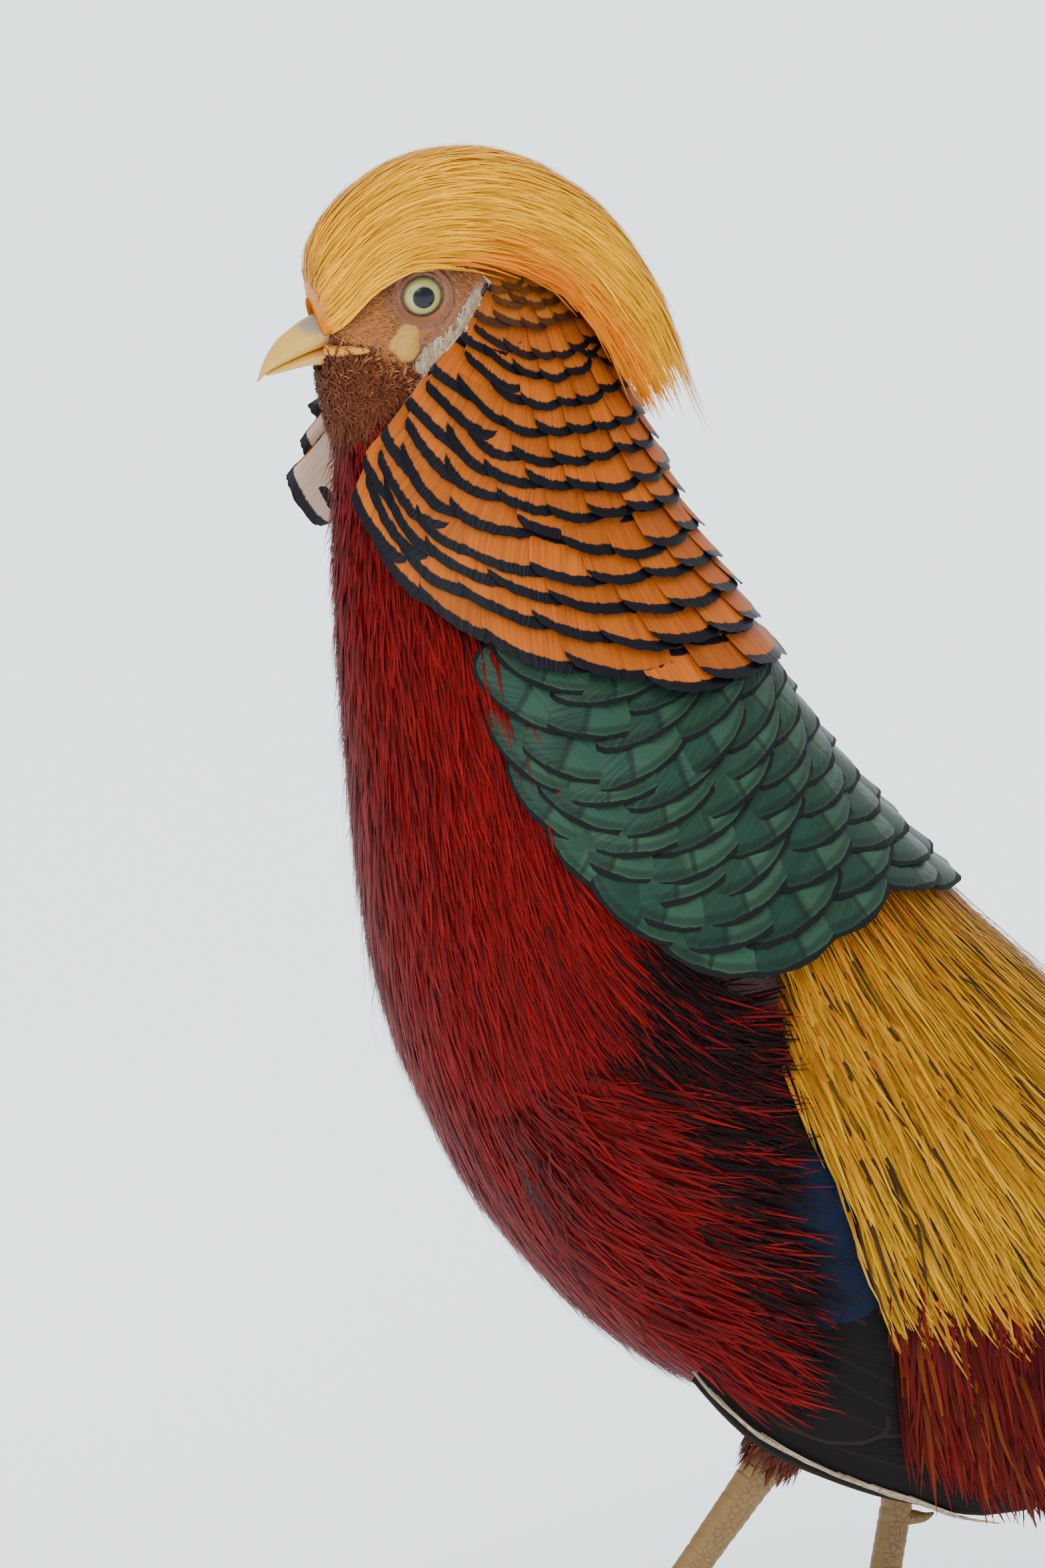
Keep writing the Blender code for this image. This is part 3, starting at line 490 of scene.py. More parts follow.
def tailFinish():
    # Central feathers black with cinnamon spots, outer ones tan with dark slanting bars, by tone.
    m = Finish("tail black with cinnamon spots")
    x, y = m.feather()
    seed, tone, size = (m.attribute(key) for key in ("seed", "tone", "size"))
    fine = barbs(m, x, y, seed, 0.12, 160.0)
    run = y * size * 100
    spots = m.node("ShaderNodeTexVoronoi", {"feature": "F1"},
                   {"Vector": m.combine(x * 5.0, run * 1.15, seed * 3), "Scale": 1.0, "Randomness": 0.85})
    wobble = m.noise(m.combine(x * 3, run * 0.8, seed * 7), 1.5)
    spot = m.smooth(spots + (wobble - 0.5) * 0.5, 0.46, 0.30)
    mottled = m.mix(spot, rgb(0.012, 0.009, 0.007), rgb(0.42, 0.17, 0.035))
    bars = m.noise(m.combine((x - 0.5) * 1.5, run * 1.5 - (x - 0.5) * 5.0, seed * 7), 1.0, 2.0)
    barred = m.mix(m.smooth(bars, 0.50, 0.58), rgb(0.40, 0.19, 0.06), rgb(0.035, 0.018, 0.010))
    colour = m.mix(tone, mottled, barred)
    tip = m.smooth(y, 0.965, 0.985) * 0.7
    colour = m.mix(tip, colour, rgb(0.50, 0.30, 0.12))
    shaft = m.smooth((x - 0.5).math("ABSOLUTE"), 0.02, 0.008)
    colour = m.mix(shaft, colour, rgb(0.16, 0.07, 0.03))
    colour = m.mix(fine * 0.25, colour, rgb(0.02, 0.012, 0.01))
    return m.done(Base_Color=colour, Roughness=0.45, Normal=m.bump(fine, 0.35, 0.0004),
                  Specular_IOR_Level=0.15)


# The crest's third colour, a deeper orange, is painted shade for the crest's lower sides.
crestGold = strandFinish("crest silky gold", rgb(0.80, 0.27, 0.0), rgb(0.98, 0.49, 0.0), rgb(0.70, 0.15, 0.0),
                         gloss=0.42, bright=(0.70, 1.18))
rumpGold = strandFinish("rump golden yellow", rgb(0.24, 0.070, 0.004), rgb(0.60, 0.30, 0.010),
                        rgb(0.40, 0.055, 0.004), gloss=0.42, dark=(0.10, rgb(0.05, 0.022, 0.008)))
breastRed = strandFinish("breast deep crimson", rgb(0.034, 0.001, 0.001), rgb(0.22, 0.003, 0.003),
                         rgb(0.010, 0.002, 0.002), gloss=0.45)
scarlet = strandFinish("tail covert scarlet", rgb(0.016, 0.001, 0.001), rgb(0.110, 0.0018, 0.0014),
                       rgb(0.26, 0.060, 0.003), gloss=0.45)
faceRust = strandFinish("face rusty brown", rgb(0.22, 0.065, 0.020), rgb(0.48, 0.185, 0.060),
                        rgb(0.46, 0.38, 0.26), gloss=0.6)
throatBrown = strandFinish("throat dark brown", rgb(0.045, 0.012, 0.006), rgb(0.16, 0.042, 0.016),
                           rgb(0.10, 0.006, 0.004), gloss=0.6)
thighRust = strandFinish("thigh red-brown", rgb(0.05, 0.014, 0.009), rgb(0.15, 0.035, 0.020),
                         rgb(0.2, 0.09, 0.05), gloss=0.6)
print("materials mixed")

rng = np.random.default_rng(12)

skinSet = {"around": 200, "headRows": 170, "bodyRows": 90, "depth": 0.0012}
faceSet = {"eye": (-0.0912, 0.3540), "eyeRadius": 0.0062, "opening": 0.0047, "lobe": (-0.0957, 0.3432),
           "lids": 0.0125, "ear": (-0.0764, 0.3548), "face": 15000, "throat": 12000,
           "chains": ((-0.0836, 0.3455), (-0.0925, 0.3375))}     # the pale band under the eye passes these


def skinFinish():
    m = Finish("skin under the feathers")
    tone, red = m.attribute("tone"), m.attribute("red")
    colour = m.stops(tone, (0.0, rgb(0.22, 0.075, 0.028)), (0.18, rgb(0.16, 0.050, 0.022)),
                     (0.28, rgb(0.05, 0.002, 0.002)), (0.5, rgb(0.012, 0.016, 0.012)),
                     (0.75, rgb(0.16, 0.05, 0.008)), (1.0, rgb(0.34, 0.13, 0.012)))
    grain = m.noise(m.place(), 900.0, 4.0, 0.6)
    dots = m.node("ShaderNodeTexVoronoi", {"feature": "F1"}, {"Vector": m.place(), "Scale": 1400.0})
    pebbled = m.smooth(dots, 0.15, 0.55)
    colour = m.mix(grain * 0.5, colour, rgb(0.02, 0.008, 0.006))
    colour = m.mix(red * pebbled * 0.8, colour, rgb(0.36, 0.085, 0.045))
    return m.done(Base_Color=colour, Roughness=0.62, Normal=m.bump(grain * 0.5 + pebbled * 0.5, 0.6, 0.0004))


def faceAt(y, z):
    # The left side's surface at a height and place, worked out by stepping closer, with its u and v.
    y, z = np.broadcast_arrays(np.asarray(y, float), np.asarray(z, float))
    u0, v0 = np.meshgrid(np.radians(np.arange(4, 178, 3.0)), np.arange(0.05, 7, 0.1))
    near = body(u0, v0)
    pick = (near[..., 1][..., None] - y.ravel()) ** 2 + (near[..., 2][..., None] - z.ravel()) ** 2
    pick = pick.reshape(-1, y.size).argmin(0)
    u, v = u0.ravel()[pick].reshape(y.shape), v0.ravel()[pick].reshape(y.shape)
    for _ in range(6):
        spot, (su, sv) = body(u, v), slopes(body, u, v)
        dy, dz = y - spot[..., 1], z - spot[..., 2]
        det = su[..., 1] * sv[..., 2] - su[..., 2] * sv[..., 1]
        det = np.where(np.abs(det) < 1e-7, 1e-7, det)
        u = u + np.clip((dy * sv[..., 2] - dz * sv[..., 1]) / det, -0.2, 0.2)
        v = v + np.clip((su[..., 1] * dz - su[..., 2] * dy) / det, -0.4, 0.4)
    normal = np.cross(*slopes(body, u, v))
    normal /= np.linalg.norm(normal, axis=-1, keepdims=True) + 1e-12
    return body(u, v), normal, u, v


def makeSkin():
    u, v = np.meshgrid(np.linspace(0, 2 * math.pi, skinSet["around"], endpoint=False),
                       np.concatenate([np.linspace(0.0, 5.0, skinSet["headRows"], endpoint=False),
                                       np.linspace(5.0, 19.9, skinSet["bodyRows"])]))
    depth = skinSet["depth"] * ramp(v, 4.5, 6.0)
    spots = lifted(body, u, v, -depth)
    away = np.hypot(spots[..., 1] - faceSet["eye"][0], spots[..., 2] - faceSet["eye"][1])
    sink = 0.0062 * (1 - ramp(away, 0.0046, 0.0064)) * (np.abs(spots[..., 0]) > 0.006)
    spots[..., 0] -= np.sign(spots[..., 0]) * sink
    degrees = np.degrees(np.abs((u + math.pi) % (2 * math.pi) - math.pi))
    tone = np.full(u.shape, 0.28)
    face = v < np.interp(degrees, [0, 60, 95, 111, 127, 146, 177], [4.4, 4.4, 4.1, 3.75, 3.2, 2.55, 2.25])
    tone = np.where(face, 0.10, tone)
    front = np.interp(v, [4.1, 5.0, 5.7, 7.1, 8.3, 9.2, 10.2, 11.3, 12.15],
                      [118, 135, 140, 122, 106, 96, 92, 80, 70])
    tone = np.where(~face & (v < 10.6) & (degrees < front), 0.75, tone)
    tone = np.where((v > 9.4) & (v < rumpCut(u)) & (degrees < front), 0.5, tone)
    tone = np.where((v > rumpCut(u)) & (degrees < 62), 1.0, tone)
    tone = np.where((degrees < 56) & (v < 4.6), 1.0, tone)
    red = (1 - ramp(away, 0.006, 0.0125)) * (np.abs(spots[..., 0]) > 0.006)
    skin = meshPiece("skin", spots, ringFaces(*u.shape)[:, ::-1],
                     {"OFBake": np.stack([u / (2 * math.pi), v / bodyRows], -1)},
                     {"tone": tone, "red": red}, skinFinish())
    bm = bmesh.new()
    bm.from_mesh(skin.data)
    bmesh.ops.holes_fill(bm, edges=[e for e in bm.edges if e.is_boundary], sides=0)
    for places in legPlaces.values():
        top, ankle = Vector(places["top"]), Vector(places["ankle"])
        turn = (ankle - top).to_track_quat("Z", "Y").to_matrix().to_4x4()
        place = Matrix.Translation(Vector(shift) + (top + ankle) / 2) @ turn
        bmesh.ops.create_cone(bm, cap_ends=True, segments=28, radius1=0.0175, radius2=0.0052,
                              depth=(ankle - top).length, matrix=place)
    bmesh.ops.recalc_face_normals(bm, faces=bm.faces[:])
    bm.to_mesh(skin.data)
    bm.free()
    skin.data.shade_smooth()
    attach(skin, "root")
    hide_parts("head", "neck", "torso", "rump", "thigh_left", "thigh_right")


makeSkin()
print("skin made")


crestSet = {"strands": 22000, "length": (0.026, 0.042), "width": 0.0009}
crestEdge = ([0.0, 0.5, 1.1, 1.6, 2.1, 2.8, 3.4, 4.15, 4.6, 5.2, 6.0, 7.6],
             [78, 84, 86, 78, 66, 56, 52, 46, 41, 35, 30, 26])


def crestHalf(v):
    return np.radians(np.interp(v, *crestEdge))


def crest(u, v):           # the crest's outer form: u is a share of its half width
    u, v = np.broadcast_arrays(np.asarray(u, float), np.asarray(v, float))
    rise = np.interp(v, crestStations, crestRise)
    lift = (rise - 0.0014) * (1 - 0.55 * np.clip(np.abs(u), 0, 1.15) ** 2.4)
    return lifted(body, u * crestHalf(v), v, lift)


def makeCrest():
    u, v = np.meshgrid(np.linspace(-1, 1, 41), np.linspace(0.10, 6.6, 80))
    outer = lifted(crest, u * 0.985, v, -0.0006 + 0 * u)
    inner = lifted(body, u * crestHalf(v) * 0.93, v, np.where(v < 4.6, -0.0015, 0.0052))
    rim = (np.abs(u) > 0.999) | (v > 6.59) | (v < 0.101)
    inner = np.where(rim[..., None], outer - 0.0002, inner)
    rows, cols = u.shape
    faces = np.concatenate([gridFaces(1, rows, cols), gridFaces(1, rows, cols, True) + rows * cols])
    n = rows * cols
    local = np.stack([u / 2 + 0.5, v / 8], -1)
    # Tone 0.5 tints the core half way to the crest's painted-shade orange.
    core = meshPiece("crestCore", np.concatenate([outer.reshape(-1, 3), inner.reshape(-1, 3)]), faces,
                     {"OFBake": np.concatenate([local, local]), "Feather": np.concatenate([local, local])},
                     {"seed": np.full(2 * n, 0.3), "tone": np.full(2 * n, 0.5)}, crestGold)
    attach(core, "root")
    for name, lowest, highest, count in (("crestFront", 0.06, 1.8, 0.32), ("crest", 1.4, 5.45, 0.68)):
        coat = Plumage(name, crestGold)
        n = int(crestSet["strands"] * count)
        u, v = scatter(rng, n, crest, (-1.0, 1.0), (lowest, highest))
        length = rng.uniform(*crestSet["length"], n)
        length *= np.interp(v, [0.1, 1.5, 4, 5.35], [0.55, 1, 1.05, 0.95])
        length *= 1 + 0.38 * (rng.random(n) < 0.10) * ramp(v, 4.4, 5.2) * ramp(0.75 - np.abs(u), 0, 0.3)
        tip = rng.gamma(2.0, 0.00028, n) + 0.0001
        # edge tints the crest's lower sides deeper orange by tone: painted shade where the crest turns down.
        edge = np.clip((np.abs(u) - 0.55) * 2.2, 0, 1) * ramp(v, 0.8, 2.6)
        heading = rng.normal(0, 0.045, n)
        wide = crestSet["width"] * rng.uniform(0.6, 1.4, n)
        coat.add(crest, u * 0.985, v, heading, length, wide, (-0.0012, 0.0001 + tip * 0.3, tip),
                 ((0, 0.7), (0.3, 1), (0.7, 0.7), (1, 0.10)), rows=6,
                 tone=np.clip(edge + rng.normal(0, 0.10, n), 0, 1), sway=rng.normal(0, 0.03, n), rng=rng,
                 home=lambda u, v: (u * 0.17 + 0.5, v / bodyRows))
        coat.build()


makeCrest()


capeSet = {"rows": 15, "half": 8, "length": (0.011, 0.029), "thick": (0.0026, 0.0058), "gaps": (2.4, 8.8)}
capeLines = np.array([     # lines of the cape from its top to its lowest row, each from the back to the front edge
    [(0, 4.4), (9, 4.35), (18, 4.25), (26, 4.15), (33, 4.05), (40, 3.95), (47, 3.8)],
    [(0, 5.3), (11, 5.2), (21, 5.05), (30, 4.9), (38, 4.75), (45, 4.6), (52, 4.35)],
    [(0, 6.5), (16, 6.4), (31, 6.2), (44, 6.0), (56, 5.75), (66, 5.2), (73, 4.35)],
    [(0, 7.8), (20, 7.7), (39, 7.45), (56, 7.15), (72, 6.6), (87, 5.75), (97, 4.1)],
    [(0, 9.5), (24, 9.25), (47, 8.85), (68, 8.35), (92, 7.5), (117, 6.1), (129, 4.05)],
    [(0, 11.05), (26, 10.7), (50, 10.2), (75, 9.45), (100, 8.45), (127, 7.0), (145, 5.0)],
    [(0, 11.9), (26, 11.5), (50, 11.0), (76, 10.2), (102, 9.1), (130, 7.6), (150, 5.4)]])
capeMarks = [-0.11, 0, 0.15, 0.35, 0.66, 1.0, 1.18]


def spread(lines, marks, across, down):
    # A place in a tract: across from the back to its front edge, down from its top to its lowest row.
    across, down = np.broadcast_arrays(np.asarray(across, float), np.asarray(down, float))
    side, turn = np.where(across < 0, -1.0, 1.0), np.abs(across)
    columns = np.stack([along(line, turn * (lines.shape[1] - 1)) for line in lines])
    at = np.interp(down, marks, range(len(marks)))
    first = np.clip(at.astype(int), 0, len(marks) - 2)
    share = (at - first)[..., None]
    low, high = (np.take_along_axis(columns, first[None, ..., None] + k, 0)[0] for k in (0, 1))
    place = low * (1 - share) + high * share
    return side * np.radians(place[..., 0]), place[..., 1]


def tract(lines, marks, rows, half, gaps, sparse, rng):
    # Tips in rows on the lines of a tract, each feather square to the line that it stands on.
    levels = np.cumsum(np.linspace(*gaps, rows))
    across, down = [], []
    for r, level in enumerate(levels / levels[-1]):
        spots = (np.arange(-half, half + 1) + (0.5 if r % 2 else 0.0)) / (half + 0.25)
        spots = spots[np.abs(spots) <= 1.0]
        spots = spots[(np.abs(spots) < sparse) | (r % 2 == 0)]
        across += list(spots)
        down += [level] * len(spots)
    across = np.clip(np.array(across) + rng.normal(0, 0.05 / half, len(across)), -1, 1)
    down = np.clip(np.array(down) + rng.normal(0, 0.004, len(down)), 0, 1)
    u, v = spread(lines, marks, across, down)
    a, b = (np.stack(spread(lines, marks, np.clip(across + d, -1, 1), down), -1) for d in (-0.02, 0.02))
    line = body(b[:, 0], b[:, 1]) - body(a[:, 0], a[:, 1])
    wide = np.clip(across + 0.02, -1, 1) - np.clip(across - 0.02, -1, 1)
    gap = np.linalg.norm(line, axis=-1) / wide / (half + 0.25)
    su, sv = slopes(body, u, v)
    normal = np.cross(su, sv)
    ahead = np.cross(normal, line)
    behind = np.stack(spread(lines, marks, across, np.clip(down - 0.03, 0, 1)), -1)
    back = body(u, v) - body(behind[:, 0], behind[:, 1])
    ahead *= np.sign((back * ahead).sum(-1))[:, None]
    su /= np.linalg.norm(su, axis=-1, keepdims=True)
    sv /= np.linalg.norm(sv, axis=-1, keepdims=True)
    lean = (su * sv).sum(-1)
    x, y = (ahead * su).sum(-1), (ahead * sv).sum(-1)
    heading = np.arctan2(x - lean * y, y - lean * x)
    return u, v, heading, gap, across, down


def backFrom(guide, u, v, heading, length, steps=8):
    # Where a feather that ends here is rooted.
    for _ in range(steps):
        du, dv = (np.maximum(np.linalg.norm(s, axis=-1), 1e-4) for s in slopes(guide, u, v))
        u, v = u - length / steps * np.sin(heading) / du, v - length / steps * np.cos(heading) / dv
    return u, v


def capeGround(across, down):
    return body(*spread(capeLines, capeMarks, across, down))


def capePatch(across, down):     # a feather's place on the OFBake map
    u, v = spread(capeLines, capeMarks, across, down)
    return u / (2 * math.pi) + 0.5, v / bodyRows


def makeCape():
    half = capeSet["half"]
    levels = np.cumsum(np.linspace(*capeSet["gaps"], capeSet["rows"]))
    across, down = [], []
    for row, level in enumerate(levels / levels[-1]):
        spots = (np.arange(-half, half + 1) + 0.5 * (row % 2)) / (half + 0.45)
        spots = spots[np.abs(spots) < 0.96]
        across += list(spots)
        down += [level] * len(spots)
    n = len(across)
    across = np.array(across) + rng.normal(0, 0.010, n)
    drift = rng.normal(0, 0.0045, n) * rng.choice([1, 3], n, p=[0.72, 0.28])
    down = np.clip(np.array(down) + drift, 0.01, 1.02)
    length = np.interp(down, [0.05, 0.4, 1], [capeSet["length"][0], 0.021, capeSet["length"][1]])
    length *= rng.uniform(0.96, 1.04, n)
    heading = rng.normal(0, 0.03, n)
    far = (across < -0.78) & (down > 0.25)
    gap = np.linalg.norm(slopes(capeGround, across, down)[0], axis=-1) / (half + 0.45)
    wide = np.clip(gap * 1.55, 0.004, 0.034)
    ru, rv = backFrom(capeGround, across, down, heading, length)
    rv = np.maximum(rv, -0.10)
    tip = np.interp(down, [0.05, 1], capeSet["thick"]) + 0.0012 * ramp(np.abs(across), 0.75, 0.95)
    tip = tip + far * 0.0090 * ramp(np.abs(across), 0.78, 0.95)
    shape = ((0, 0.40), (0.3, 0.85), (0.6, 1.0), (0.90, 1.0), (0.96, 0.95), (1, 0.84))
    coat = Plumage("cape", capeFinish())
    coat.add(capeGround, ru, rv, heading, length * (1 + 0.2 * far), wide,
             (-0.0010 + 0 * tip, tip * 0.42, tip), shape, rows=13, cols=17,
             tone=np.clip(1.05 - down * 6.5, 0, 1), fray=0.010, bow=0.06, cup=0.02,
             tilt=0.0008 * np.sign(across), rng=rng, home=capePatch)
    coat.build()
    inner = Plumage("capeInner", capeInnerFinish())
    edge = np.abs(across) > 0.76
    tip = tip[edge] - 0.00035
    inner.add(capeGround, ru[edge], rv[edge], heading[edge], (length * (1 + 0.2 * far))[edge], wide[edge],
              (-0.0013 + 0 * tip, tip * 0.42 - 0.0003, tip), shape, rows=13, cols=17, fray=0.0, bow=0.06,
              cup=0.02, tilt=0.0008 * np.sign(across[edge]), rng=rng, home=capePatch)
    inner.build()


def capeInnerFinish():
    m = Finish("cape inner face peach with a black edge")
    x, y = m.feather()
    seed, size = m.attribute("seed"), m.attribute("size")
    fine = m.noise(m.combine(x * 34 + seed * 71, y * 1.6, seed * 9), 1.0, 2.0)
    fromTip = (1 - y) * size + (fine - 0.5) * 0.0010
    colour = m.mix(fine, rgb(0.62, 0.36, 0.22), rgb(0.85, 0.66, 0.52))
    colour = m.mix(m.smooth(fromTip, 0.0026, 0.0020), colour, rgb(0.012, 0.013, 0.020))
    return m.done(Base_Color=colour, Roughness=0.55, Normal=m.bump(fine, 0.4, 0.0004))


makeCape()


mantleSet = {"rows": 12, "half": 5, "length": (0.020, 0.029), "thick": (0.0034, 0.0042)}
mantleLines = np.array([   # the same for the mantle
    [(0, 10.2), (18, 10.1), (36, 9.8), (54, 9.4), (72, 8.9), (90, 8.3), (107, 7.6)],
    [(0, 11.1), (18, 11.1), (38, 11.05), (60, 10.8), (80, 10.4), (94, 9.95), (108, 9.3)],
    [(0, 12.3), (17, 12.25), (35, 12.05), (55, 11.75), (75, 11.4), (92, 10.9), (108, 10.1)],
    [(0, 13.85), (15, 13.7), (32, 13.25), (50, 12.95), (65, 12.75), (80, 12.35), (92, 11.7)]])
mantleMarks = [0, 0.3, 0.6, 1.0]


def makeMantle():
    u, v, heading, gap, across, down = tract(mantleLines, mantleMarks, mantleSet["rows"], mantleSet["half"],
                                                  (6.0, 8.0), 0.92, rng)
    n = len(u)
    length = np.interp(down, [0.05, 1], mantleSet["length"]) * rng.uniform(0.97, 1.03, n)
    length *= np.interp(np.abs(across), [0, 0.7, 1], [1, 1, 0.8])
    heading = heading + rng.normal(0, 0.03, n)
    ru, rv = backFrom(body, u, v, heading, length)
    tip = np.interp(down, [0.05, 1], mantleSet["thick"]) + 0.0022 * ramp(down, 0.6, 1)
    coat = Plumage("mantle", scaleFinish("mantle teal green scales", rgb(0.048, 0.115, 0.062),
                                         rgb(0.009, 0.030, 0.017), rgb(0.002, 0.003, 0.003)))
    shape = ((0, 0.4), (0.25, 0.75), (0.5, 0.98), (0.70, 1.0), (0.84, 0.90), (0.92, 0.70), (0.97, 0.44),
             (1, 0.14))
    coat.add(body, ru, rv, heading, length, np.clip(gap * 2.25, 0.014, 0.038),
             (-0.0012 + 0 * tip, tip * 0.42, tip), shape, rows=16, cols=13, cup=0.05, rng=rng)
    coat.build()


makeMantle()


breastSet = {"strands": 41000, "length": (0.013, 0.022), "width": 0.00076}


# Where breast and flank begin and where strands over the wing's front thin out, in degrees from the back.
breastEdge = ([2.5, 3.6, 4.3, 5.0, 5.75, 6.6, 7.25, 8.0, 8.7, 9.45, 10, 10.85, 11.25, 11.7, 12.2, 12.6, 13,
               13.6, 14.2, 15.1, 16, 17, 19.5],
              [130, 118, 128, 134, 132, 124, 116, 104, 98, 97, 97, 93, 91, 90, 95, 104, 114,
               123, 130, 138, 142, 130, 100])
thinEdge = ([11.0, 11.25, 11.5, 12.05, 12.65, 13.3, 13.95], [96, 107, 114, 121, 127, 132, 136])
throatEdge = ([100, 111, 127, 146, 177], [4.3, 3.6, 3.0, 2.35, 2.05])


def breastHeading(u, v):
    turned = np.abs(u)
    return -np.sign(u) * 0.80 * ramp(v, 9.8, 13) * ramp(math.radians(125) - turned, -0.17, 0.79)


def makeBreast():
    def chance(u, v):
        below = np.abs(u) > np.radians(np.interp(v, *breastEdge))
        return (below & (v > np.interp(np.degrees(np.abs(u)), *throatEdge))) * 1.0
    for name, low, high, count in (("breast", 2.6, 11.4, 0.5), ("belly", 10.9, 19.4, 0.5)):
        n = int(breastSet["strands"] * count)
        coat = Plumage(name, breastRed)
        u, v = scatter(rng, n, body, (-math.pi, math.pi), (low, high), chance)
        turned = np.abs(u)
        length = rng.uniform(*breastSet["length"], n)
        length *= np.interp(v, [2.6, 5, 8, 12, 17], [0.4, 0.7, 0.95, 1.3, 1.1])
        flank = ramp(v, 9.8, 11.6) * ramp(13.4 - v, 0, 0.9) * ramp(math.radians(138) - turned, 0, 0.5)
        flank *= 0.3 + 0.7 * ramp(turned, 1.57, 1.80)
        tip = rng.gamma(2.0, 0.00045, n) + 0.0006 + 0.0048 * flank
        thinned = np.radians(np.interp(v, *thinEdge, left=0, right=0))
        dark = (turned < thinned) & (rng.random(n) < 0.82)
        heading = breastHeading(u, v) + rng.normal(0, 0.09, n)
        wide = breastSet["width"] * rng.uniform(0.6, 1.4, n)
        tone = np.clip(rng.normal(0.05, 0.10, n) + 0.3 * ramp(v, 16, 18) + 0.25 * flank, 0, 1)
        coat.add(body, u, v, heading, length * (1 + 0.45 * flank), wide, (-0.0014, tip * 0.6, tip),
                 ((0, 0.8), (0.35, 1), (0.7, 0.7), (1, 0.1)), rows=5, rng=rng, tone=np.where(dark, 1.0, tone),
                 sway=rng.normal(0, 0.07, n))
        coat.build()


makeBreast()


wingSet = {"depth": 0.014, "red": 6200, "coverts": 3400, "edge": 70}
wingRows = [     # ends across, tips there, feathers, length, width, tone, lifts and turns, the longest first
    ((0.30, 0.90), (1.00, 0.84), 7, 0.100, 0.020, 0.0, (-0.0008, 0.0002, 0.0004), (-0.02, -0.10)),
    ((-0.35, 0.86), (0.88, 0.62), 9, 0.074, 0.022, 0.02, (-0.0006, 0.0008, 0.0012), (-0.04, -0.04)),
    ((-0.45, 0.62), (0.60, 0.46), 7, 0.062, 0.024, 0.52, (-0.0006, 0.0012, 0.0018), (0.02, 0.02)),
    ((-0.60, 0.50), (0.49, 0.40), 6, 0.054, 0.026, 0.55, (-0.0006, 0.0015, 0.0021), (0, 0)),
    ((-0.85, 0.90), (0.36, 0.26), 10, 0.044, 0.024, 0.22, (-0.0006, 0.0016, 0.0024), (0, 0)),
    ((-0.90, 0.85), (0.26, 0.18), 11, 0.038, 0.022, 0.85, (-0.0006, 0.0018, 0.0028), (0, 0)),
    ((-0.90, 0.80), (0.17, 0.10), 10, 0.032, 0.020, 0.9, (-0.0006, 0.0018, 0.0030), (0, 0))]


